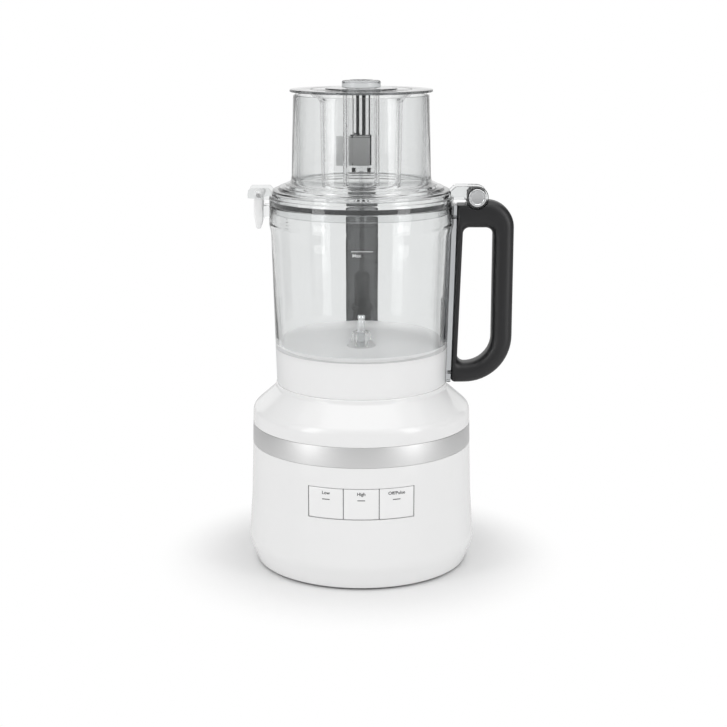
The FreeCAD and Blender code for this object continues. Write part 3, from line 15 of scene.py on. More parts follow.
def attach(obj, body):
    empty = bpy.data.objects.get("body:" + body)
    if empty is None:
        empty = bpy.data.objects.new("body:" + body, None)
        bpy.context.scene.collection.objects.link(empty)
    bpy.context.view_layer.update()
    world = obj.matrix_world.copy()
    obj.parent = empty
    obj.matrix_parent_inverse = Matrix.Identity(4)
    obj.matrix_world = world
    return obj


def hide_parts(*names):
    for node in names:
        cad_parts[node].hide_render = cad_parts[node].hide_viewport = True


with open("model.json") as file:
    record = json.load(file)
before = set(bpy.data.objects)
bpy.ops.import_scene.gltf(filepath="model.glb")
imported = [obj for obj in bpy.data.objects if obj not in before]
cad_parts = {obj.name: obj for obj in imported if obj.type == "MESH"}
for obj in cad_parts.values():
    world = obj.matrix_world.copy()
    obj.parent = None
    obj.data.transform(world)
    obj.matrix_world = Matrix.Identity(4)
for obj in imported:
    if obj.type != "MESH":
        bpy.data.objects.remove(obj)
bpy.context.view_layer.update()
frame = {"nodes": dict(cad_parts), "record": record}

LOG = logging.getLogger("food_processor")
MM = 0.001
SPIN_STEPS = 144
Z_AXIS = Vector((0, 0, 1))
ALONG_Y = Matrix.Rotation(-math.pi / 2, 4, "X")


# ---------------------------------------------------------------- shaping helpers

class Join(Enum):
    """How two meshes are combined."""

    UNION = "UNION"
    DIFFERENCE = "DIFFERENCE"


class Plane(Enum):
    """The plane on which an outline is drawn."""

    FRONT = "XZ"
    TOP = "XY"


@dataclass(frozen=True)
class Corner:
    """A corner of an outline in millimetres, with the radius that rounds it."""

    across: float
    up: float
    rounding: float = 0.0


def rounded(corners: Sequence[Corner], closed: bool, steps: int = 6) -> list[tuple[float, float]]:
    """Turn corners into points, with an arc at each corner that is rounded.

    Args:
        corners: The outline's corners in order.
        closed: Whether the last corner joins the first.
        steps: How many straight pieces make an arc.

    Returns:
        The points of the outline in metres.
    """
    points = []
    count = len(corners)
    for index, corner in enumerate(corners):
        here = Vector((corner.across, corner.up))
        inner = closed or 0 < index < count - 1
        if corner.rounding <= 0 or not inner:
            points.append(here)
            continue
        before = corners[index - 1]
        after = corners[(index + 1) % count]
        back = (Vector((before.across, before.up)) - here).normalized()
        ahead = (Vector((after.across, after.up)) - here).normalized()
        half = back.angle(ahead) / 2
        centre = here + (back + ahead).normalized() * corner.rounding / math.sin(half)
        first = here + back * corner.rounding / math.tan(half) - centre
        sweep = first.angle_signed(here + ahead * corner.rounding / math.tan(half) - centre)
        for step in range(steps + 1):
            turn = Matrix.Rotation(-sweep * step / steps, 2)
            points.append(centre + turn @ first)
    return [(point.x * MM, point.y * MM) for point in points]


def to_object(name: str, shape: bmesh.types.BMesh) -> bpy.types.Object:
    """Close a bmesh and return it as an object in the scene.

    Args:
        name: Name of the piece.
        shape: The finished bmesh.

    Returns:
        The new object, at the origin.
    """
    mesh = bpy.data.meshes.new(name)
    shape.to_mesh(mesh)
    shape.free()
    piece = bpy.data.objects.new(name, mesh)
    bpy.context.scene.collection.objects.link(piece)
    return piece


def tidy(shape: bmesh.types.BMesh) -> None:
    """Merge doubles and make the faces point outwards."""
    bmesh.ops.remove_doubles(shape, verts=shape.verts, dist=1e-6)
    bmesh.ops.dissolve_degenerate(shape, edges=shape.edges, dist=1e-7)
    bmesh.ops.recalc_face_normals(shape, faces=shape.faces)


def lathe_shape(corners: Sequence[Corner], closed: bool = True, steps: int = SPIN_STEPS) -> bmesh.types.BMesh:
    """Spin an outline about the Z axis.

    Args:
        corners: Corners given as radius and height.
        closed: False for an outline that starts and ends on the axis.
        steps: Number of steps in the full turn.

    Returns:
        A closed bmesh.
    """
    shape = bmesh.new()
    verts = [shape.verts.new((radius, 0, height)) for radius, height in rounded(corners, closed)]
    pairs = list(zip(verts, verts[1:])) + ([(verts[-1], verts[0])] if closed else [])
    edges = [shape.edges.new(pair) for pair in pairs]
    bmesh.ops.spin(shape, geom=verts + edges, cent=(0, 0, 0), axis=Z_AXIS, angle=2 * math.pi,
                   steps=steps, use_merge=True)
    tidy(shape)
    return shape


def lathe(name: str, corners: Sequence[Corner], closed: bool = True, steps: int = SPIN_STEPS) -> bpy.types.Object:
    """Return a turned piece as an object."""
    return to_object(name, lathe_shape(corners, closed, steps))


def drum(name: str, corners: Sequence[Corner], at: Vector, turn: Matrix = Matrix(), steps: int = 48) -> bpy.types.Object:
    """Return a small turned piece, closed on its axis, placed and turned.

    Args:
        name: Name of the piece.
        corners: Corners given as radius and height along the axis.
        at: Where its axis starts, in millimetres.
        turn: How its axis is turned from Z.
        steps: Number of steps in the full turn.

    Returns:
        The new object.
    """
    shape = lathe_shape(corners, False, steps)
    bmesh.ops.transform(shape, matrix=Matrix.Translation(at * MM) @ turn, verts=shape.verts)
    return to_object(name, shape)


def block(name: str, low: Sequence[float], high: Sequence[float], bevel: float = 0.4) -> bpy.types.Object:
    """Return a block with softened edges from two corners in millimetres."""
    shape = bmesh.new()
    bmesh.ops.create_cube(shape, size=1)
    size = [(b - a) * MM for a, b in zip(low, high)]
    middle = [(a + b) / 2 * MM for a, b in zip(low, high)]
    bmesh.ops.scale(shape, vec=size, verts=shape.verts)
    bmesh.ops.translate(shape, vec=middle, verts=shape.verts)
    if bevel > 0:
        bmesh.ops.bevel(shape, geom=list(shape.edges), offset=bevel * MM, segments=2, profile=0.5,
                        affect="EDGES", material=-1)
    return to_object(name, shape)


def prism(name: str, corners: Sequence[Corner], plane: Plane, low: float, high: float,
          bevel: float = 0.4) -> bpy.types.Object:
    """Return an outline extruded across its plane, with softened edges.

    Args:
        name: Name of the piece.
        corners: Corners of the outline, in millimetres.
        plane: The plane that the outline is drawn on.
        low: Where the piece starts across the plane.
        high: Where it ends.
        bevel: Radius of its softened edges.

    Returns:
        The new object.
    """
    shape = bmesh.new()
    place = {Plane.FRONT: lambda a, b: (a, low * MM, b), Plane.TOP: lambda a, b: (a, b, low * MM)}[plane]
    verts = [shape.verts.new(place(a, b)) for a, b in rounded(corners, True)]
    face = shape.faces.new(verts)
    made = bmesh.ops.extrude_face_region(shape, geom=[face])["geom"]
    moved = [part for part in made if isinstance(part, bmesh.types.BMVert)]
    step = Vector((0, 1, 0)) if plane is Plane.FRONT else Z_AXIS
    bmesh.ops.translate(shape, vec=step * (high - low) * MM, verts=moved)
    tidy(shape)
    if bevel > 0:
        rims = [edge for edge in shape.edges if edge.calc_face_angle(0) > math.radians(50)]
        bmesh.ops.bevel(shape, geom=rims, offset=bevel * MM, segments=2, profile=0.5, affect="EDGES", material=-1)
    return to_object(name, shape)


def combine(piece: bpy.types.Object, others: Iterable[bpy.types.Object], how: Join) -> bpy.types.Object:
    """Unite a piece with others, or cut them out of it, and remove the others.

    Args:
        piece: The piece that is kept.
        others: The pieces that are used up.
        how: Whether they are added or taken away.

    Returns:
        The kept piece.
    """
    for other in others:
        change = piece.modifiers.new("combine", "BOOLEAN")
        change.object = other
        change.operation = how.value
        change.solver = "EXACT"
        graph = bpy.context.evaluated_depsgraph_get()
        mesh = bpy.data.meshes.new_from_object(piece.evaluated_get(graph))
        piece.modifiers.clear()
        piece.data = mesh
        bpy.data.objects.remove(other)
    piece.data.name = piece.name
    return piece


def hang_on(body: str, piece: bpy.types.Object, materials: Sequence[bpy.types.Material],
            replaces: Sequence[str] = (), sharp: float = 32.0) -> bpy.types.Object:
    """Dress a piece and fix it to its body.

    Args:
        body: The body that the piece moves with.
        piece: The finished piece.
        materials: Its materials, in slot order.
        replaces: CAD nodes that it stands for.
        sharp: Angle in degrees above which an edge stays crisp.

    Returns:
        The piece.
    """
    piece.data.materials.clear()
    for material in materials:
        piece.data.materials.append(material)
    piece.data.shade_smooth()
    piece.data.set_sharp_from_angle(angle=math.radians(sharp))
    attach(piece, body)
    if replaces:
        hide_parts(*replaces)
    LOG.info("piece %s on %s, %d faces", piece.name, body, len(piece.data.polygons))
    return piece


# ---------------------------------------------------------------- finishes

def linear(colour: str) -> tuple[float, float, float, float]:
    """Return an sRGB hex colour as linear RGBA."""
    parts = [int(colour[place:place + 2], 16) / 255 for place in (1, 3, 5)]
    return (*[part / 12.92 if part <= 0.04045 else ((part + 0.055) / 1.055) ** 2.4 for part in parts], 1.0)


def add_node(tree: bpy.types.NodeTree, kind: str, links: dict | None = None, **settings) -> bpy.types.Node:
    """Add a node with its settings and links.

    Args:
        tree: The material's node tree.
        kind: The node's type.
        links: Input names to the sockets that feed them.
        **settings: Attributes of the node, or values of its inputs.

    Returns:
        The new node.
    """
    node = tree.nodes.new(kind)
    for name, value in settings.items():
        if hasattr(node, name):
            setattr(node, name, value)
        else:
            node.inputs[name.replace("_", " ")].default_value = value
    for name, socket in (links or {}).items():
        tree.links.new(socket, node.inputs[name])
    return node


@dataclass(frozen=True)
class Finish:
    """What every finish has: a name, a colour and a shader with plain values on its sockets."""

    name: str
    colour: str
    roughness: float = 0.4
    ior: float = 1.5

    def start(self, **sockets) -> tuple[bpy.types.Material, bpy.types.NodeTree, bpy.types.Node, bpy.types.Node]:
        """Make the material with its shader and its coordinates.

        Args:
            **sockets: Further values for the shader's sockets.

        Returns:
            The material, its tree, its shader and its texture coordinates.
        """
        material = bpy.data.materials.new(self.name)
        material.use_nodes = True
        tree = material.node_tree
        shader = tree.nodes["Principled BSDF"]
        shader.inputs["Base Color"].default_value = linear(self.colour)
        shader.inputs["Roughness"].default_value = self.roughness
        shader.inputs["IOR"].default_value = self.ior
        for name, value in sockets.items():
            shader.inputs[name.replace("_", " ")].default_value = value
        return material, tree, shader, add_node(tree, "ShaderNodeTexCoord")


def per_metre(size_mm: float) -> float:
    """Return a pattern scale for features of a size in millimetres."""
    return 1 / (size_mm * MM)


@dataclass(frozen=True)
class MouldedPlastic(Finish):
    """Injection-moulded ABS or nylon: grain from the tool, and slow waves where the wall cooled."""

    grain: float = 0.5
    grain_depth: float = 0.02
    wave: float = 14.0
    wave_depth: float = 0.02
    spread: float = 0.04

    def build(self) -> bpy.types.Material:
        """Return the material."""
        material, tree, shader, place = self.start()
        spot = place.outputs["Object"]
        fine = add_node(tree, "ShaderNodeTexNoise", {"Vector": spot}, Scale=per_metre(self.grain), Detail=3.0)
        slow = add_node(tree, "ShaderNodeTexNoise", {"Vector": spot}, Scale=per_metre(self.wave), Detail=1.0)
        bump = add_node(tree, "ShaderNodeBump", {"Height": fine.outputs["Fac"]}, Strength=self.grain_depth,
                        Distance=self.grain * MM)
        swell = add_node(tree, "ShaderNodeBump", {"Height": slow.outputs["Fac"], "Normal": bump.outputs["Normal"]},
                         Strength=self.wave_depth, Distance=self.wave * MM / 4)
        tree.links.new(swell.outputs["Normal"], shader.inputs["Normal"])
        gloss = add_node(tree, "ShaderNodeMapRange", {"Value": slow.outputs["Fac"]},
                         To_Min=max(self.roughness - self.spread, 0.02), To_Max=self.roughness + self.spread)
        tree.links.new(gloss.outputs["Result"], shader.inputs["Roughness"])
        return material


@dataclass(frozen=True)
class ClearPlastic(Finish):
    """Clear moulded plastic: a polished wall whose colour is painted darker where it is seen along its length, a
    painted shade standing in for the dark refraction at its edges.
    """

    # edge and edge_power give painted shade: a darker colour mixed into the wall's colour at grazing angles.
    edge: str = "#7f8385"
    edge_power: float = 3.5
    lets_by: str = "#fafafa"
    milk: float = 0.0
    ripple: float = 22.0
    ripple_depth: float = 0.012

    def build(self) -> bpy.types.Material:
        """Return the material, which lets lamp light pass."""
        material, tree, shader, place = self.start(Transmission_Weight=1.0 - self.milk)
        # Painted shade: the colour turns towards the edge colour where the wall is seen at a grazing angle.
        facing = add_node(tree, "ShaderNodeLayerWeight", Blend=0.5)
        grazing = add_node(tree, "ShaderNodeMath", {0: facing.outputs["Facing"]}, operation="POWER")
        grazing.inputs[1].default_value = self.edge_power
        tint = add_node(tree, "ShaderNodeMix", {"Factor": grazing.outputs[0]}, data_type="RGBA")
        tint.inputs[6].default_value = linear(self.colour)
        tint.inputs[7].default_value = linear(self.edge)
        tree.links.new(tint.outputs[2], shader.inputs["Base Color"])
        flow = add_node(tree, "ShaderNodeTexNoise", {"Vector": place.outputs["Object"]},
                        Scale=per_metre(self.ripple), Detail=1.5)
        bump = add_node(tree, "ShaderNodeBump", {"Height": flow.outputs["Fac"]}, Strength=self.ripple_depth,
                        Distance=self.ripple * MM / 4)
        tree.links.new(bump.outputs["Normal"], shader.inputs["Normal"])
        path = add_node(tree, "ShaderNodeLightPath")
        passing = add_node(tree, "ShaderNodeBsdfTransparent", Color=linear(self.lets_by))
        both = add_node(tree, "ShaderNodeMixShader", {"Fac": path.outputs["Is Shadow Ray"]})
        tree.links.new(shader.outputs["BSDF"], both.inputs[1])
        tree.links.new(passing.outputs["BSDF"], both.inputs[2])
        tree.links.new(both.outputs["Shader"], tree.nodes["Material Output"].inputs["Surface"])
        return material


@dataclass(frozen=True)
class BrushedSteel(Finish):
    """Stainless steel brushed round the axis: fine level lines that break the reflection up."""

    line: float = 0.35
    length: float = 60.0
    depth: float = 0.05
    contrast: float = 0.08

    def build(self) -> bpy.types.Material:
        """Return the material."""
        material, tree, shader, place = self.start(Metallic=1.0)
        stretch = add_node(tree, "ShaderNodeMapping", {"Vector": place.outputs["Object"]})
        stretch.inputs["Scale"].default_value = (per_metre(self.length), per_metre(self.length), per_metre(self.line))
        lines = add_node(tree, "ShaderNodeTexNoise", {"Vector": stretch.outputs["Vector"]}, Scale=1.0, Detail=3.0)
        rough = add_node(tree, "ShaderNodeMapRange", {"Value": lines.outputs["Fac"]},
                         To_Min=self.roughness - self.contrast, To_Max=self.roughness + self.contrast)
        tree.links.new(rough.outputs["Result"], shader.inputs["Roughness"])
        bump = add_node(tree, "ShaderNodeBump", {"Height": lines.outputs["Fac"]}, Strength=self.depth,
                        Distance=self.line * MM)
        tree.links.new(bump.outputs["Normal"], shader.inputs["Normal"])
        return material


@dataclass(frozen=True)
class Banded(Finish):
    """A surface made of fine parallel layers, such as stacked laminations or wound wire."""

    second: str = "#202020"
    pitch: float = 1.0
    metallic: float = 1.0

    def build(self) -> bpy.types.Material:
        """Return the material."""
        material, tree, shader, place = self.start(Metallic=self.metallic)
        layers = add_node(tree, "ShaderNodeTexWave", {"Vector": place.outputs["Object"]}, wave_type="BANDS",
                          bands_direction="Z", Scale=per_metre(self.pitch) / 20, Distortion=0.3)
        ramp = add_node(tree, "ShaderNodeValToRGB", {"Fac": layers.outputs["Fac"]})
        ramp.color_ramp.elements[0].color = linear(self.second)
        ramp.color_ramp.elements[1].color = linear(self.colour)
        tree.links.new(ramp.outputs["Color"], shader.inputs["Base Color"])
        bump = add_node(tree, "ShaderNodeBump", {"Height": layers.outputs["Fac"]}, Strength=0.3,
                        Distance=self.pitch * MM / 4)
        tree.links.new(bump.outputs["Normal"], shader.inputs["Normal"])
        return material


@dataclass(frozen=True)
class Ink(Finish):
    """Pad-printed ink: thin, matte and slightly uneven; the same finish also carries the painted shade line round the
    buttons.
    """

    def build(self) -> bpy.types.Material:
        """Return the material."""
        material, tree, shader, place = self.start()
        film = add_node(tree, "ShaderNodeTexNoise", {"Vector": place.outputs["Object"]}, Scale=per_metre(0.3))
        level = add_node(tree, "ShaderNodeMapRange", {"Value": film.outputs["Fac"]}, To_Min=self.roughness - 0.1,
                         To_Max=self.roughness + 0.1)
        tree.links.new(level.outputs["Result"], shader.inputs["Roughness"])
        return material


@dataclass
class Finishes:
    """Every material of the object, made once."""

    white: bpy.types.Material = field(init=False)

    def __post_init__(self) -> None:
        """Build the materials."""
        # ABS from a polished tool: bright and glossy, with hardly any grain.
        self.white = MouldedPlastic("polished_white_abs", "#eeeeee", 0.13, 1.53, grain=0.8, grain_depth=0.004,
                                    wave=30.0, wave_depth=0.006, spread=0.02).build()
        # The buttons come from a satin tool, so they are a little duller than the housing.
        self.button = MouldedPlastic("satin_white_abs", "#f1f1f1", 0.24, 1.53, grain=0.5, grain_depth=0.01).build()
        # Stainless strip with a level brushed grain; real lines are 0.05 mm, drawn coarser so that they show.
        self.band = BrushedSteel("brushed_stainless_strip", "#dadada", 0.42).build()
        # Clear copolyester of the bowl and lid.
        self.clear = ClearPlastic("clear_copolyester", "#f0f1f1", 0.012, 1.42, edge="#5a5e60", edge_power=7.0).build()
        # The bowl's floor and skirt come from a matte tool, so they are milky.
        self.frosted = ClearPlastic("frosted_copolyester", "#f7f7f7", 0.38, 1.4, edge="#dedfe0", milk=0.72).build()
        # The pushers are clear with the least grey in them, and only their edges are painted dark, as painted shade at
        # grazing angles.
        self.tinted = ClearPlastic("grey_tinted_san", "#fefefe", 0.015, 1.07, edge="#2f3133",
                                   edge_power=6.0, lets_by="#fefefe").build()
        # The top discs are thicker and look darker.
        self.flange = ClearPlastic("grey_tinted_san_disc", "#c6c8c9", 0.05, 1.4, edge="#56595b", edge_power=2.5).build()
        # The rail beside the handle is looked at through its whole depth.
        self.rail = ClearPlastic("thick_grey_copolyester", "#b4b6b8", 0.06, 1.42, edge="#6c7072", edge_power=2.0).build()
        # The knob is the same grey plastic, but thinner.
        self.knob = ClearPlastic("grey_copolyester_knob", "#cfd1d2", 0.06, 1.42, edge="#777b7d", edge_power=2.0).build()
        # Smoked polycarbonate of the column.
        self.smoked = ClearPlastic("smoked_polycarbonate", "#8f9091", 0.03, 1.4, edge="#5a5c5e", edge_power=3.0,
                                   lets_by="#c4c4c4").build()
        # Soft-touch handle: black, with a fine even texture.
        self.handle = MouldedPlastic("textured_black_nylon", "#151517", 0.42, 1.5, grain=0.45, grain_depth=0.12,
                                     wave=20.0, wave_depth=0.01).build()
        # Dark glass-filled nylon of the moving parts inside; the same material also paints the shade in the guide's two
        # holes, in the gaps of the slider and in the tab's stripes.
        self.dark = MouldedPlastic("dark_nylon", "#232425", 0.34, 1.5, grain=0.4, grain_depth=0.05).build()
        # Rubber: black, dull, faintly grained.
        self.rubber = MouldedPlastic("black_rubber", "#1e1e1f", 0.7, 1.5, grain=0.3, grain_depth=0.2).build()
        # Silicone seal.
        self.seal = MouldedPlastic("grey_silicone", "#2b2c2d", 0.5, 1.42, grain=0.3, grain_depth=0.06).build()
        # Ground and polished drive pin.
        self.pin = BrushedSteel("polished_stainless_pin", "#e6e7e8", 0.12, line=0.2, length=2.0, depth=0.02,
                                contrast=0.04).build()
        # Plain steel of bearings, shafts and screws.
        self.steel = BrushedSteel("turned_steel", "#b8b9ba", 0.3, line=0.3).build()
        self.cast = MouldedPlastic("die_cast_aluminium", "#9d9fa1", 0.5, 1.5, grain=0.6, grain_depth=0.25).build()
        self.copper = Banded("enamelled_copper_wire", "#b8683a", 0.35, second="#5c2c14", pitch=1.2).build()
        self.lamination = Banded("stacked_steel_laminations", "#8a8c8e", 0.4, second="#3a3b3c", pitch=1.0).build()
        self.board = MouldedPlastic("solder_mask", "#1f5a36", 0.35, 1.5, grain=1.2, grain_depth=0.06).build()
        self.ink = Ink("dark_grey_pad_print", "#3b3c3e", 0.5).build()
        self.white_ink = Ink("white_pad_print", "#f4f4f4", 0.5).build()
        # Painted shade: a dark strip standing in for the shadow in the gap round the buttons.
        self.gap = Ink("shadowed_gap", "#55575a", 0.8).build()


# ---------------------------------------------------------------- labels

@dataclass(frozen=True)
class Label:
    """Flat lettering laid on an upright wall that is curved about the Z axis."""

    text: str
    middle: float
    height: float
    size: float
    radius: float
    lift: float = 0.06
    weight: float = 0.07

    def build(self, name: str, behind: bool = False) -> bpy.types.Object:
        """Return the lettering as a mesh wrapped on the wall.

        Args:
            name: Name of the piece.
            behind: Whether the lettering lies on the far side of the object.

        Returns:
            The new object.
        """
        curve = bpy.data.curves.new(name, "FONT")
        curve.body = self.text
        curve.align_x = "CENTER"
        curve.size = self.size * MM
        curve.offset = self.weight * MM
        curve.resolution_u = 4
        words = bpy.data.objects.new(name, curve)
        bpy.context.scene.collection.objects.link(words)
        graph = bpy.context.evaluated_depsgraph_get()
        mesh = bpy.data.meshes.new_from_object(words.evaluated_get(graph))
        bpy.data.objects.remove(words)
        return wrap(name, mesh, self.middle, self.height, self.radius + self.lift, behind)


def wrap(name: str, mesh: bpy.types.Mesh, middle: float, height: float, radius: float,
         behind: bool = False) -> bpy.types.Object:
    """Lay a flat mesh on a wall of a given radius.

    Args:
        name: Name of the piece.
        mesh: A mesh drawn on the XY plane, in metres.
        middle: Its sideways place, in millimetres.
        height: Its height, in millimetres.
        radius: The wall's radius, in millimetres.
        behind: Whether the wall is on the far side of the axis.

    Returns:
        The new object.
    """
    shape = bmesh.new()
    shape.from_mesh(mesh)
    for vert in shape.verts:
        across = vert.co.x + middle * MM
        deep = math.sqrt(max((radius * MM) ** 2 - across ** 2, 0))
        vert.co = Vector((across, deep if behind else -deep, height * MM + vert.co.y))
    return to_object(name, shape)


def dash(name: str, middle: float, height: float, wide: float, tall: float, radius: float,
         behind: bool = False) -> bpy.types.Object:
    """Return a short printed line on a curved wall."""
    shape = bmesh.new()
    bmesh.ops.create_grid(shape, x_segments=12, y_segments=1, size=0.5)
    bmesh.ops.scale(shape, vec=(wide * MM, tall * MM, 1), verts=shape.verts)
    mesh = bpy.data.meshes.new(name)
    shape.to_mesh(mesh)
    shape.free()
    return wrap(name, mesh, middle, height, radius, behind)


# ---------------------------------------------------------------- base

@dataclass
class BaseUnit:
    """White housing with its satin band, gland, cover and foot."""

    finishes: Finishes
    window_low: float = 68.0
    window_high: float = 97.0
    window_half: float = 47.5
    wall: float = 3.0

    def outside(self) -> list[Corner]:
        """Corners of the housing's outside, with the band's groove left out."""
        return [
            Corner(99.3, 2.0, 1.2), Corner(106.9, 23.0, 24.0), Corner(103.9, 65.0, 120.0), Corner(102.35, 115.7, 0.3),
            Corner(101.0, 115.7), Corner(100.6, 134.6), Corner(101.95, 134.6, 0.3), Corner(101.6, 149.0, 9.0),
            Corner(79.8, 168.0, 3.0), Corner(79.8, 172.0, 0.8), Corner(73.0, 172.0, 1.0), Corner(73.0, 196.0, 3.0),
            Corner(6.5, 196.0, 0.5),
        ]

    def inside(self) -> list[Corner]:
        """Corners of the housing's inside, from the boss down."""
        return [
            Corner(6.5, 193.0), Corner(70.0, 193.0), Corner(70.0, 169.0), Corner(76.8, 166.5),
            Corner(98.6, 147.5, 6.0), Corner(100.9, 65.0), Corner(103.9, 23.0, 19.0), Corner(96.8, 2.0),
        ]

    def housing(self) -> bpy.types.Object:
        """Return the housing with its button window and rear pillar."""
        shape = lathe_shape(self.outside() + self.inside(), True, 192)
        for point, normal in (((self.window_half, 0, 0), (1, 0, 0)), ((-self.window_half, 0, 0), (1, 0, 0)),
                              ((0, 0, self.window_low), (0, 0, 1)), ((0, 0, self.window_high), (0, 0, 1))):
            near = [face for face in shape.faces if face.calc_center_median().y < -60 * MM]
            parts = near + list({edge for face in near for edge in face.edges})
            parts += list({vert for face in near for vert in face.verts})
            bmesh.ops.bisect_plane(shape, geom=parts, plane_co=Vector(point) * MM, plane_no=normal, dist=1e-7)
        gone = [face for face in shape.faces if self.in_window(face.calc_center_median())]
        bmesh.ops.delete(shape, geom=gone, context="FACES")
        open_edges = [edge for edge in shape.edges if edge.is_boundary]
        bmesh.ops.bridge_loops(shape, edges=open_edges)
        bmesh.ops.recalc_face_normals(shape, faces=shape.faces)
        housing = to_object("housing_shell", shape)
        pillar = prism("pillar", [Corner(-18.5, 80.3), Corner(19.5, 80.3), Corner(19.5, 101.5, 5), Corner(-18.5, 101.5, 5)],
                       Plane.TOP, 147.0, 176.3, 0.8)
        key = block("key", (-4, -73.6, 172), (4, -71, 193), 0.3)
        return combine(housing, [pillar, key], Join.UNION)

    def in_window(self, point: Vector) -> bool:
        """Tell whether a face's middle lies in the button window."""
        return (point.y < -60 * MM and abs(point.x) < self.window_half * MM
                and self.window_low * MM < point.z < self.window_high * MM)

    def build(self) -> None:
        """Build and dress every piece of the base's outside."""
        look = self.finishes
        hang_on("base", self.housing(), [look.white], ["base_housing"], 28)
        band = lathe("satin_band", [
            Corner(100.8, 115.9), Corner(102.42, 115.9, 0.25), Corner(102.0, 134.4, 0.25), Corner(100.8, 134.4)], steps=192)
        hang_on("base", band, [look.band], ["trim_band"])
        cover = lathe("bottom_plate", [Corner(0, 2.6), Corner(96.4, 2.6, 0.6), Corner(96.4, 5.6), Corner(0, 5.6)], False)
        slots = [self.vent(index) for index in range(12)]
        hang_on("base", combine(cover, slots, Join.DIFFERENCE), [look.dark], ["bottom_cover"])
        foot = lathe("rubber_ring", [
            Corner(75.2, 0, 0.5), Corner(84.8, 0, 0.5), Corner(86, 2.6), Corner(74, 2.6)])
        hang_on("base", foot, [look.rubber], ["rubber_foot"])
        gland = drum("cord_sleeve", [
            Corner(0, -2), Corner(3.6, -2), Corner(3.6, 6.0, 0.4), Corner(5.5, 6.0, 0.6), Corner(8.5, 3.0, 0.6),
            Corner(8.5, 1.0, 0.4), Corner(7.0, 0.0), Corner(7.0, -7.0), Corner(0, -7.0)],
            Vector((0, 106.9, 32)), ALONG_Y)
        hang_on("base", gland, [look.rubber], ["cord_gland"])

    def vent(self, index: int) -> bpy.types.Object:
        """Return the cutter of one round vent in the bottom plate."""
        angle = math.radians(15 + index * 30)
        at = Vector((58 * math.cos(angle), 58 * math.sin(angle), 0))
        return drum(f"vent_{index}", [Corner(0, 0), Corner(3.6, 0), Corner(3.6, 9), Corner(0, 9)], at, steps=24)


@dataclass
class Buttons:
    """Three curved buttons with their lettering and pointer lines, and a painted shadow line round them."""

    finishes: Finishes
    low: float = 68.6
    high: float = 96.4
    radius: float = 103.75
    names: tuple[tuple[str, str, str, float, float], ...] = (
        ("button_low", "low_button", "Low", -46.9, -16.3),
        ("button_high", "high_button", "High", -15.7, 15.7),
        ("button_off_pulse", "off_pulse_button", "Off/Pulse", 16.3, 46.9),
    )

    def cap(self, name: str, left: float, right: float) -> bpy.types.Object:
        """Return one curved button with softened edges and a shallow finger ledge below."""
        shape = lathe_shape([
            Corner(97.6, 66.0), Corner(99.9, 66.0), Corner(99.9, self.low), Corner(self.radius, self.low, 0.8),
            Corner(self.radius - 0.25, self.high, 0.8), Corner(99.9, self.high), Corner(99.9, 99.0), Corner(97.6, 99.0)],
            True, 288)
        for place, side in ((left, -1), (right, 1)):
            everything = list(shape.verts) + list(shape.edges) + list(shape.faces)
            bmesh.ops.bisect_plane(shape, geom=everything, plane_co=(place * MM, 0, 0), plane_no=(side, 0, 0),
                                   clear_outer=True)
        everything = list(shape.verts) + list(shape.edges) + list(shape.faces)
        bmesh.ops.bisect_plane(shape, geom=everything, plane_co=(0, 0, 0), plane_no=(0, 1, 0), clear_outer=True)
        bmesh.ops.holes_fill(shape, edges=[edge for edge in shape.edges if edge.is_boundary])
        bmesh.ops.recalc_face_normals(shape, faces=shape.faces)
        caps = [face for face in shape.faces if abs(face.normal.x) > 0.99]
        rims = list({edge for face in caps for edge in face.edges if edge.calc_face_angle(0) > 0.6})
        bmesh.ops.bevel(shape, geom=rims, offset=0.45 * MM, segments=2, profile=0.5, affect="EDGES", material=-1)
        return to_object(name, shape)

    def build(self) -> None:
        """Build and dress the buttons."""
        look = self.finishes
        for node, body, text, left, right in self.names:
            middle = (left + right) / 2
            hang_on(body, self.cap(f"{node}_cap", left, right), [look.button], [node], 30)
            label = Label(text, middle, 91.0, 4.1, self.radius - 0.18).build(f"{node}_label")
            hang_on(body, label, [look.ink])
            mark = dash(f"{node}_mark", middle, 86.4, 6.8, 0.75, self.radius - 0.05)
            hang_on(body, mark, [look.ink])
        # Painted shade: a dark ring strip behind the buttons' edges, standing in for the shadow in the gap.
        shadow = lathe_shape([Corner(99.95, 66.5), Corner(100.3, 66.5), Corner(100.3, 98.4), Corner(99.95, 98.4)], True, 192)
        everything = list(shape_parts(shadow))
        bmesh.ops.bisect_plane(shadow, geom=everything, plane_co=(0, -88 * MM, 0), plane_no=(0, 1, 0), clear_outer=True)
        hang_on("base", to_object("button_shadow_gap", shadow), [look.gap])


def shape_parts(shape: bmesh.types.BMesh) -> Iterable:
    """Return every vertex, edge and face of a bmesh."""
    return list(shape.verts) + list(shape.edges) + list(shape.faces)


# ---------------------------------------------------------------- bowl and column

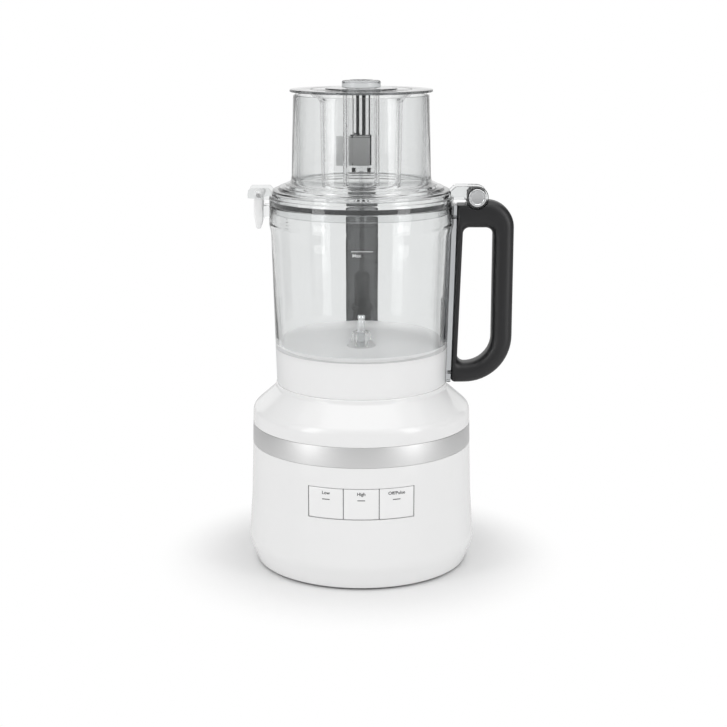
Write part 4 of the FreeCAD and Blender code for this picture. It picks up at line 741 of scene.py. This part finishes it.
@dataclass
class Bowl:
    """Clear bowl with its frosted skirt, hub, ribs, locating channel and catch lug."""

    finishes: Finishes
    floor: float = 203.4

    def build(self) -> None:
        """Build and dress the bowl and its printed marks."""
        look = self.finishes
        bowl = lathe("clear_bowl", [
            Corner(79.1, 172.3, 0.6), Corner(80.05, 205.6, 0.5), Corner(82.9, 312.0, 20.0), Corner(84.5, 319.4, 3.0),
            Corner(84.6, 338.0, 0.9), Corner(82.0, 338.0, 0.9), Corner(82.0, 322.4, 3.0), Corner(80.3, 312.0, 20.0),
            Corner(76.7, self.floor, 7.0), Corner(12.0, self.floor, 2.5), Corner(8.4, 217.0, 0.9),
            Corner(4.4, 217.0, 0.5), Corner(4.4, 200.6), Corner(76.5, 200.6, 1.5), Corner(76.5, 172.3, 0.6)], steps=192)
        extras = [block("lug", (-89.3, -10, 326), (-83.4, 10, 337.6), 0.8)]
        for side in (-1, 1):
            extras.append(block("rib", (min(side * 75.2, side * 78.6), -1.3, 202.2),
                                (max(side * 75.2, side * 78.6), 1.3, 249.4), 0.4))
            extras.append(block("rail", (min(side * 4.6, side * 5.9), -77.2, 175), (max(side * 4.6, side * 5.9), -73.4, 201.5), 0.2))
        bowl = combine(bowl, extras, Join.UNION)
        for face in bowl.data.polygons:
            height, reach = face.center.z / MM, face.center.xy.length / MM
            inside = 20 < reach < 78.9
            face.material_index = int(height < self.floor + (6.5 if inside else 2.0) and reach > 20)
        indices = [face.material_index for face in bowl.data.polygons]
        hang_on("bowl", bowl, [look.clear, look.frosted], ["work_bowl"], 30)
        bowl.data.polygons.foreach_set("material_index", indices)
        for index in range(4):
            mark = dash(f"bowl_mark_{index}", -66.0, 322.4 + index * 2.9, 2.2 - 0.5 * (index % 2), 0.35, 84.6)
            hang_on("bowl", mark, [look.ink])


@dataclass
class Column:
    """Smoked column behind the bowl, the dark rod inside it and its fill mark."""

    finishes: Finishes
    middle: float = 0.5
    half: float = 16.0
    back: float = 101.5

    def build(self) -> None:
        """Build and dress the column, the rod and the lettering."""
        look = self.finishes
        left, right = self.middle - self.half, self.middle + self.half
        tube = prism("smoked_column", [
            Corner(left, 78.0), Corner(right, 78.0), Corner(right, self.back, 6), Corner(left, self.back, 6)],
            Plane.TOP, 176.6, 333.0, 0.8)
        hollow = prism("hollow", [
            Corner(left + 2, 83.2), Corner(right - 2, 83.2), Corner(right - 2, self.back - 2, 4), Corner(left + 2, self.back - 2, 4)],
            Plane.TOP, 178.6, 331.0, 0.2)
        space = lathe("space", [
            Corner(0, 170), Corner(79.4, 172.3), Corner(83.2, 312), Corner(84.9, 320), Corner(84.9, 340), Corner(0, 340)], False)
        tip = drum("tip_hole", [Corner(0, 0), Corner(4.3, 0), Corner(4.3, 6), Corner(0, 6)], Vector((0.5, 91.35, 174)))
        top = drum("top_hole", [Corner(0, 0), Corner(2.7, 0), Corner(2.7, 6), Corner(0, 6)], Vector((0.5, 91.35, 329)))
        tube = combine(tube, [hollow, space, tip, top], Join.DIFFERENCE)
        hang_on("bowl", tube, [look.smoked], ["rear_column"])
        hang_on("rod", self.rod(), [look.dark], ["interlock_rod"])
        sleeve = drum("push_pin_rod", [Corner(0, 0), Corner(2.4, 0), Corner(2.4, 75.6, 0.6), Corner(0, 75.6)],
                      Vector((0.5, 91.35, 258)), steps=32)
        hang_on("rod", sleeve, [look.smoked], ["push_pin"])
        words = Label("Max", -4.8, 275.2, 5.2, 79.0, 0.0).build("fill_label", True)
        hang_on("bowl", words, [look.white_ink])
        line = dash("fill_line", 0.5, 281.0, 22.0, 0.7, 79.1, True)
        hang_on("bowl", line, [look.white_ink])

    def rod(self) -> bpy.types.Object:
        """Return the dark rod: a domed body, a collar and a flared skirt, flattened front and back."""
        body = drum("plunger_rod", [
            Corner(0, 0), Corner(4, 0, 0.6), Corner(4, 31), Corner(13.4, 31, 0.5), Corner(13.4, 33, 0.5),
            Corner(10.4, 42), Corner(9.5, 51), Corner(12, 51, 0.8), Corner(12, 55.5, 0.8), Corner(8.5, 55.5),
            Corner(8.5, 90, 5.5), Corner(0, 90)], Vector((0.5, 91.35, 168)), steps=64)
        far = block("far", (-20, 99.1, 160), (20, 120, 270), 0)
        near = block("near", (-20, 60, 160), (20, 83.6, 270), 0)
        return combine(body, [far, near], Join.DIFFERENCE)


# ---------------------------------------------------------------- handle

@dataclass
class Handle:
    """Black handle with its finger gap, clear rail, hinge ear and caps."""

    finishes: Finishes
    half: float = 13.0
    hinge: Vector = field(default_factory=lambda: Vector((105.5, 0, 345.0)))

    def section(self, outer: Vector, inner: Vector, radius: float, steps: int = 5) -> list[Vector]:
        """Return the rounded section of the loop between its outer and inner outline.

        Args:
            outer: The outer outline's point, as X and Z in metres.
            inner: The matching point of the finger gap.
            radius: Rounding of the section's corners in millimetres.
            steps: How many straight pieces make each corner.

        Returns:
            The section's points in order.
        """
        along = outer - inner
        round_by = min(radius * MM, along.length / 2 * 0.95)
        wide, deep = along.length / 2 - round_by, self.half * MM - round_by
        middle = (outer + inner) / 2
        along.normalize()
        points = []
        for turn, (side, face) in enumerate(((1, 1), (-1, 1), (-1, -1), (1, -1))):
            for step in range(steps + 1):
                angle = math.radians(90 * turn) + math.pi / 2 * step / steps
                reach = side * wide + round_by * math.cos(angle)
                depth = face * deep + round_by * math.sin(angle)
                spot = middle + along * reach
                points.append(Vector((spot.x, depth, spot.y)))
        return points

    def loop_shape(self) -> bpy.types.Object:
        """Return the handle's loop, lofted between the outer outline and the finger gap."""
        outer = rounded([Corner(83.4, 171.6, 4.0), Corner(140, 171.6, 44), Corner(140, 342, 25),
                         Corner(87.7, 342, 4.0)], True, 16)
        inner = rounded([Corner(89.2, 190, 7), Corner(121, 190, 25), Corner(121, 317, 7),
                         Corner(93.4, 317, 6)], True, 16)
        shape = bmesh.new()
        rings = [[shape.verts.new(point) for point in self.section(Vector(a), Vector(b), 8.0)]
                 for a, b in zip(outer, inner)]
        for ring, following in zip(rings, rings[1:] + rings[:1]):
            for index in range(len(ring)):
                ahead = (index + 1) % len(ring)
                shape.faces.new((ring[index], ring[ahead], following[ahead], following[index]))
        tidy(shape)
        loop = to_object("grip_loop", shape)
        notch = prism("notch", [
            Corner(78, 338), Corner(95.7, 338), Corner(99.2, 342.2), Corner(99.2, 352), Corner(78, 352)],
            Plane.FRONT, -30, 30, 0)
        return combine(loop, [notch], Join.DIFFERENCE)

    def build(self) -> None:
        """Build and dress the handle and its hinge."""
        look = self.finishes
        loop = self.loop_shape()
        pockets = [drum("pocket", [Corner(0, 0), Corner(10.9, 0), Corner(10.9, 9), Corner(0, 9)],
                        Vector((105.5, start, 345)), ALONG_Y, 64) for start in (-15.1, 6.1)]
        loop = combine(loop, pockets, Join.DIFFERENCE)
        ear = drum("ear", [Corner(0, 0), Corner(8.4, 0, 0.8), Corner(8.4, 12, 0.8), Corner(0, 12)],
                   Vector((105.5, -6, 345)), ALONG_Y, 64)
        loop = combine(loop, [ear], Join.UNION)
        hang_on("bowl", loop, [look.handle], ["handle"], 40)
        rail = prism("clear_rail", [
            Corner(76.5, 172.3), Corner(83.3, 172.3), Corner(87.5, 338), Corner(80.3, 338)], Plane.FRONT, -11, 11, 0.8)
        space = lathe("rail_space", [
            Corner(0, 170), Corner(79.4, 172.3), Corner(83.2, 312), Corner(84.9, 320), Corner(84.9, 340), Corner(0, 340)], False)
        hang_on("bowl", combine(rail, [space], Join.DIFFERENCE), [look.rail], ["handle_rail"])
        front = drum("hinge_cap_pair", [
            Corner(0, 0.5), Corner(5.6, 0.5, 0.2), Corner(6.1, 0, 0.3), Corner(8.0, 0, 0.6), Corner(8.0, 1.8),
            Corner(0, 1.8)], Vector((105.5, -14.8, 345)), ALONG_Y, 64)
        rear = drum("rear_cap", [
            Corner(0, 0), Corner(8.0, 0), Corner(8.0, 1.8, 0.6), Corner(6.1, 1.8, 0.3), Corner(5.6, 1.3, 0.2),
            Corner(0, 1.3)], Vector((105.5, 13.0, 345)), ALONG_Y, 64)
        hang_on("bowl", combine(front, [rear], Join.UNION), [look.pin], ["hinge_caps"])


# ---------------------------------------------------------------- lid

@dataclass
class Lid:
    """Clear lid and chute with terraces, hinge knuckles, catch cheeks, slider guide, seal and catch."""

    finishes: Finishes

    def shell(self) -> bpy.types.Object:
        """Return the lid and chute in one moulding."""
        lid = lathe("clear_lid", [
            Corner(61.6, 437.0, 0.6), Corner(63.6, 362.0, 20.0), Corner(65.4, 357.2, 2.4), Corner(69.5, 357.2, 0.8),
            Corner(70.1, 354.6, 0.5), Corner(75.5, 354.6, 0.8), Corner(76.1, 352.0, 0.5), Corner(81.0, 352.0, 1.4),
            Corner(82.4, 345.8, 0.6), Corner(84.4, 345.8, 1.2), Corner(84.4, 338.4, 0.5), Corner(82.5, 338.4, 0.3),
            Corner(82.5, 342.7), Corner(80.9, 342.7), Corner(80.9, 331.0, 0.6), Corner(78.6, 331.0, 0.6),
            Corner(78.6, 349.4, 2.0), Corner(64.2, 349.4, 1.5), Corner(63.8, 345.0, 0.5), Corner(62.3, 345.0, 0.5),
            Corner(62.1, 362.0), Corner(60.1, 437.0, 0.5)], steps=192)
        parts = []
        for side in (-1, 1):
            near, far = sorted((side * 6.3, side * 12.3))
            parts.append(prism("arm", [
                Corner(81.2, 343.2), Corner(105.5, 343.2), Corner(105.5, 355.3), Corner(86.0, 355.3, 4.0), Corner(81.2, 350.6, 1.0)],
                Plane.FRONT, near, far, 0.8))
            parts.append(drum("knuckle", [Corner(0, 0), Corner(10.3, 0, 0.8), Corner(10.3, 6, 0.8), Corner(0, 6)],
                              Vector((105.5, near, 345)), ALONG_Y, 64))
            near, far = sorted((side * 12.3, side * 15.1))
            parts.append(prism("cheek", [
                Corner(-104.0, 345.0, 2.0), Corner(-81.2, 343.2), Corner(-81.2, 351.0), Corner(-84, 354.0, 1.5), Corner(-102, 354.0, 3.0)],
                Plane.FRONT, near, far, 0.5))
        parts.append(block("guide", (-13, 70.5, 353.3), (13, 72.5, 390), 0.5))
        lid = combine(lid, parts, Join.UNION)
        bore = drum("bore", [Corner(0, 0), Corner(3.06, 0), Corner(3.06, 60), Corner(0, 60)], Vector((105.5, -30, 345)), ALONG_Y, 48)
        slot = block("arm_slot", (-2.9, 69, 357.5), (2.9, 75, 366.1), 0)
        return combine(lid, [bore, slot], Join.DIFFERENCE)

    def build(self) -> None:
        """Build and dress the lid, its seal, the catch and the fill mark."""
        look = self.finishes
        hang_on("lid", self.shell(), [look.clear], ["lid"], 30)
        seal = lathe("lid_gasket", [
            Corner(81.0, 338.5, 0.5), Corner(82.4, 338.5, 0.5), Corner(82.4, 342.5, 0.3), Corner(81.0, 342.5, 0.3)], steps=192)
        hang_on("lid", seal, [look.seal], ["lid_seal"])
        lever = prism("catch_lever", [
            Corner(-97.5, 350.8, 2.6), Corner(-89.9, 350.8, 2.6), Corner(-89.9, 325.0, 4.0), Corner(-92.0, 316.7, 1.4),
            Corner(-95.8, 316.7, 1.6), Corner(-97.8, 330.0, 6.0), Corner(-97.8, 338.0, 3.0)], Plane.FRONT, -12, 12, 1.0)
        hang_on("catch", lever, [look.button], ["catch"])
        words = Label("Max", -3.6, 405.6, 3.4, 62.2).build("chute_label")
        hang_on("lid", words, [look.ink])
        line = dash("chute_line", -0.6, 403.7, 18.0, 0.4, 62.4)
        hang_on("lid", line, [look.ink])
        # Painted shade: two small dark blocks standing in for the deep shadow in the guide's two holes below the
        # slider.
        for side, (left, right) in (("left", (-12.8, -7.0)), ("right", (7.0, 12.6))):
            notch = block(f"guide_hole_shade_{side}", (left, 70.2, 356.3), (right, 70.6, 361.2), 0.15)
            hang_on("lid", notch, [look.dark])
        for index in range(7):
            ridge = block(f"grip_ridge_{index}", (-9 + index * 3, 79.6, 345.9), (-8 + index * 3, 81.3, 351.6), 0.2)
            hang_on("lid", ridge, [look.clear])


@dataclass
class Slider:
    """White interlock slider behind the chute, and its clear arm."""

    finishes: Finishes

    def build(self) -> None:
        """Build and dress the slider and the arm."""
        look = self.finishes
        body = prism("interlock_block", [
            Corner(-10.7, 64.4), Corner(10.7, 64.4), Corner(10.7, 70.2, 4.0), Corner(-10.7, 70.2, 4.0)], Plane.TOP, 364, 390, 0.9)
        flag = block("flag", (-26.4, 64.4, 364.0), (-16.2, 66.0, 390.0), 0.4)
        strip = block("strip", (-15.6, 64.4, 364.0), (-12.4, 66.0, 390.0), 0.4)
        bridge = block("bridge", (-20, 65.4, 366.0), (0, 65.9, 388.0), 0.1)
        body = combine(body, [flag, strip, bridge], Join.UNION)
        slot = block("bar_slot", (-2.7, 65.9, 363.0), (2.7, 71.0, 366.0), 0)
        hang_on("slider", combine(body, [slot], Join.DIFFERENCE), [look.white], ["interlock_slider"])
        # Painted shade: a dark sheet behind the slider, so that the gaps between its flag, strip and body look shaded.
        plate = block("slider_gap_shade_sheet", (-15.9, 66.15, 364.4), (13.6, 66.6, 391.2), 0.1)
        plate_room = block("plate_room", (-10.5, 66.0, 363.0), (10.5, 67.0, 390.4), 0)
        hang_on("slider", combine(plate, [plate_room], Join.DIFFERENCE), [look.dark])
        bar = block("slider_arm", (-2.6, 66.1, 361.9), (2.6, 93.9, 365.7), 0.5)
        foot = block("foot", (-2.6, 88.8, 333.95), (2.6, 93.9, 365), 0.5)
        hang_on("slider", combine(bar, [foot], Join.UNION), [look.clear], ["interlock_arm"])


# ---------------------------------------------------------------- pushers

@dataclass
class Pushers:
    """The three nested pushers."""

    finishes: Finishes

    def tab(self) -> None:
        """Build the tab that reaches from the flange down to the slider: a clear plate with painted dark stripes, a
        painted reflection standing in for the dark lines that its flutes show.
        """
        look = self.finishes
        plate = block("pusher_tab", (-10.4, 64.9, 390.4), (10.4, 65.9, 439.6), 0.3)
        hang_on("large_pusher", plate, [look.tinted])
        # Painted reflection: opaque dark strips in place of the dark refraction stripes of the clear flutes.
        for index, (left, right) in enumerate(((-10.9, -9.6), (-6.1, -2.4), (0.7, 4.9), (8.8, 10.9))):
            painted_stripe = block(f"tab_painted_stripe_{index}", (left, 64.1, 390.5), (right, 64.8, 439.5), 0.25)
            hang_on("large_pusher", painted_stripe, [look.dark])

    def build(self) -> None:
        """Build and dress each pusher."""
        look = self.finishes
        large = lathe("large_pusher_cup", [
            Corner(34.0, 346.4, 0.8), Corner(58.8, 346.4, 11.0), Corner(59.4, 439.6), Corner(57.4, 439.6),
            Corner(56.8, 348.4, 9.0), Corner(36.0, 348.4, 1.5), Corner(37.6, 428.0, 5.0), Corner(47.9, 439.6),
            Corner(45.9, 439.6), Corner(35.6, 428.0, 5.0)])
        hang_on("large_pusher", large, [look.tinted], ["large_pusher"])
        flange = lathe("large_pusher_rim", [
            Corner(45.9, 439.7, 0.4), Corner(64.6, 439.7, 0.8), Corner(65.0, 441.9, 0.8), Corner(45.9, 441.9, 0.6)])
        hang_on("large_pusher", flange, [look.flange], ["pusher_flange"])
        self.tab()
        medium = lathe("medium_pusher_cup", [
            Corner(14.6, 348.0, 0.5), Corner(33.4, 348.0, 7.0), Corner(35.0, 430.0, 5.0), Corner(45.3, 439.6),
            Corner(43.3, 439.6), Corner(33.0, 430.0, 5.0), Corner(31.4, 350.0, 5.0), Corner(16.6, 350.0, 1.0),
            Corner(16.6, 439.6), Corner(14.6, 439.6)])
        hang_on("medium_pusher", medium, [look.tinted], ["medium_pusher"])
        cap = lathe("medium_pusher_top", [
            Corner(14.6, 439.7), Corner(45.2, 439.7, 0.4), Corner(45.2, 441.9, 0.8), Corner(33.0, 441.9, 0.4),
            Corner(32.4, 442.9, 0.5), Corner(14.6, 442.9, 0.5)])
        hang_on("medium_pusher", cap, [look.flange], ["medium_cap"])
        small = drum("small_pusher_rod", [
            Corner(0, 349.0), Corner(14.0, 349.0, 1.5), Corner(14.0, 443.4), Corner(12.2, 443.4), Corner(12.2, 351.0, 2.0),
            Corner(0, 351.0)], Vector((0, 0, 0)), steps=96)
        hang_on("small_pusher", small, [look.tinted], ["small_pusher"])
        knob = drum("small_pusher_knob", [
            Corner(0, 443.5), Corner(17.7, 443.5, 0.8), Corner(17.7, 450.0, 2.2), Corner(10.4, 450.0, 1.0),
            Corner(10.0, 448.0, 0.6), Corner(0, 448.0)], Vector((0, 0, 0)), steps=96)
        hang_on("small_pusher", knob, [look.knob], ["small_knob"])


# ---------------------------------------------------------------- what stays from the CAD

@dataclass
class Works:
    """The pieces inside, which keep their CAD meshes and get their materials here."""

    finishes: Finishes

    def spindle(self) -> None:
        """Build the steel drive pin with its rounded tip and the spindle below it."""
        pin = drum("steel_drive_pin", [
            Corner(0, 16.0), Corner(6.0, 16.0, 0.6), Corner(6.0, 191.0, 0.4), Corner(3.6, 191.0), Corner(3.6, 227.0, 0.4),
            Corner(2.9, 227.6, 0.3), Corner(2.9, 229.2, 0.3), Corner(3.5, 229.8, 0.4), Corner(3.4, 233.0, 1.8), Corner(0, 233.0)],
            Vector((0, 0, 0)), steps=64)
        hang_on("spindle", pin, [self.finishes.pin], ["drive_spindle"])

    def build(self) -> None:
        """Dress each CAD node that is shown as it is."""
        self.spindle()
        look = self.finishes
        by_slot = {
            "dark_plastic": look.dark, "white_parts": look.button, "board": look.board, "rubber_dark": look.rubber,
            "steel": look.steel, "polished_steel": look.pin, "copper": look.copper, "laminations": look.lamination,
            "aluminium_cast": look.cast, "clear": look.clear, "smoked": look.smoked, "band": look.band,
            "white_shell": look.white, "black_handle": look.handle, "seal_grey": look.seal,
        }
        slots = {part["node"]: part["material_slot"] for part in frame["record"]["subparts"]}
        for name, node in frame["nodes"].items():
            node.data.materials.clear()
            node.data.materials.append(look.button if name == "catch_pin" else by_slot[slots[name]])
            LOG.info("node %s dressed as %s", name, slots[name])


# ---------------------------------------------------------------- studio

@dataclass
class Studio:
    """White sweep, soft lamps and the camera."""

    distance: float = 1.40855
    height: float = 0.51368
    aside: float = 0.0020
    pitch: float = 13.03
    lens: float = 76.21

    def camera(self) -> None:
        """Place the camera level with the lid, looking slightly down."""
        data = bpy.data.cameras.new("camera")
        data.lens = self.lens
        data.sensor_width = 36
        data.clip_end = 50
        camera = bpy.data.objects.new("camera", data)
        camera.location = (self.aside, -self.distance, self.height)
        camera.rotation_euler = (math.radians(90 - self.pitch), 0, 0)
        bpy.context.scene.collection.objects.link(camera)
        bpy.context.scene.camera = camera

    def lamp(self, name: str, at: Vector, target: Vector, wide: float, tall: float, power: float) -> None:
        """Add one soft rectangular lamp.

        Args:
            name: Name of the lamp.
            at: Its place.
            target: The point that it faces.
            wide: Its width.
            tall: Its height.
            power: Its power in watts.
        """
        data = bpy.data.lights.new(name, "AREA")
        data.shape = "RECTANGLE"
        data.size = wide
        data.size_y = tall
        data.energy = power
        lamp = bpy.data.objects.new(name, data)
        lamp.location = at
        lamp.rotation_euler = (target - at).to_track_quat("-Z", "Y").to_euler()
        bpy.context.scene.collection.objects.link(lamp)

    def floor(self) -> None:
        """Add the pale floor, which looks white where no shadow falls."""
        shape = bmesh.new()
        bmesh.ops.create_grid(shape, x_segments=1, y_segments=1, size=6)
        floor = to_object("floor", shape)
        material = bpy.data.materials.new("pale_floor")
        material.use_nodes = True
        tree = material.node_tree
        shader = tree.nodes["Principled BSDF"]
        shader.inputs["Base Color"].default_value = linear("#f2f2f2")
        shader.inputs["Roughness"].default_value = 0.6
        place = add_node(tree, "ShaderNodeTexCoord")
        far = add_node(tree, "ShaderNodeVectorMath", {0: place.outputs["Object"]}, operation="LENGTH")
        fade = add_node(tree, "ShaderNodeMapRange", {"Value": far.outputs["Value"]}, interpolation_type="SMOOTHSTEP",
                        From_Min=0.108, From_Max=0.2)
        path = add_node(tree, "ShaderNodeLightPath")
        seen = add_node(tree, "ShaderNodeMath", {0: path.outputs["Is Camera Ray"], 1: path.outputs["Is Transmission Ray"]},
                        operation="MAXIMUM")
        both = add_node(tree, "ShaderNodeMath", {0: seen.outputs[0], 1: fade.outputs["Result"]}, operation="MULTIPLY")
        white = add_node(tree, "ShaderNodeEmission", Strength=1.0)
        mixed = add_node(tree, "ShaderNodeMixShader", {"Fac": both.outputs[0]})
        tree.links.new(shader.outputs["BSDF"], mixed.inputs[1])
        tree.links.new(white.outputs["Emission"], mixed.inputs[2])
        tree.links.new(mixed.outputs["Shader"], tree.nodes["Material Output"].inputs["Surface"])
        floor.data.materials.append(material)

    def card(self, name: str, at: Vector, turn: Matrix, level: float) -> None:
        """Stand a grey card beside the set, so that metal and gloss turn darker towards it.

        Args:
            name: Name of the card.
            at: Its place.
            turn: How it is turned from lying flat.
            level: How bright it looks in a reflection.
        """
        shape = bmesh.new()
        bmesh.ops.create_grid(shape, x_segments=1, y_segments=1, size=1.2)
        bmesh.ops.transform(shape, matrix=Matrix.Translation(at) @ turn, verts=shape.verts)
        card = to_object(name, shape)
        material = bpy.data.materials.new(name)
        material.use_nodes = True
        tree = material.node_tree
        grey = add_node(tree, "ShaderNodeEmission", Strength=level)
        tree.links.new(grey.outputs["Emission"], tree.nodes["Material Output"].inputs["Surface"])
        card.data.materials.append(material)
        card.visible_camera = False
        card.visible_transmission = False
        card.visible_diffuse = False
        card.visible_shadow = False

    def world(self) -> None:
        """Light the room evenly, white where it is seen directly, in metal or through clear walls."""
        world = bpy.data.worlds.new("studio")
        bpy.context.scene.world = world
        world.use_nodes = True
        tree = world.node_tree
        sky = tree.nodes["Background"]
        path = add_node(tree, "ShaderNodeLightPath")
        clear = add_node(tree, "ShaderNodeMath", {0: path.outputs["Is Camera Ray"], 1: path.outputs["Is Transmission Ray"]},
                         operation="MAXIMUM")
        seen = add_node(tree, "ShaderNodeMath", {0: clear.outputs[0], 1: path.outputs["Is Glossy Ray"]},
                        operation="MAXIMUM")
        level = add_node(tree, "ShaderNodeMapRange", {"Value": seen.outputs[0]}, To_Min=0.58, To_Max=1.0)
        tree.links.new(level.outputs["Result"], sky.inputs["Strength"])
        sky.inputs["Color"].default_value = (1, 1, 1, 1)

    def build(self) -> None:
        """Set up the whole studio."""
        self.camera()
        self.floor()
        self.world()
        upright = Matrix.Rotation(math.pi / 2, 4, "Y")
        self.card("left_card", Vector((-1.8, 0.9, 1.1)), upright, 0.2)
        self.card("right_card", Vector((1.8, 0.9, 1.1)), upright, 0.2)
        self.card("front_card", Vector((0, -2.3, 1.3)), Matrix.Rotation(math.pi / 2, 4, "X"), 0.45)
        middle = Vector((0, 0, 0.22))
        for name, side in (("left_strip", -1), ("right_strip", 1)):
            angle = math.radians(53)
            at = Vector((side * 1.3 * math.sin(angle), -1.3 * math.cos(angle), 0.55))
            self.lamp(name, at, middle, 0.4, 1.3, 4.8)
        self.lamp("overhead", Vector((0, -0.2, 1.7)), middle, 1.6, 1.2, 6.5)
        scene = bpy.context.scene
        scene.view_settings.view_transform = "Standard"
        scene.cycles.max_bounces = 28
        scene.cycles.transmission_bounces = 28
        scene.cycles.transparent_max_bounces = 96


def main() -> None:
    """Build the food processor's looks and the studio."""
    logging.basicConfig(level=logging.INFO, format="%(message)s")
    Studio().build()
    finishes = Finishes()
    for section in (Works, BaseUnit, Buttons, Bowl, Column, Handle, Lid, Slider, Pushers):
        section(finishes).build()
        LOG.info("section %s built", section.__name__)


if __name__ == "__main__":
    main()
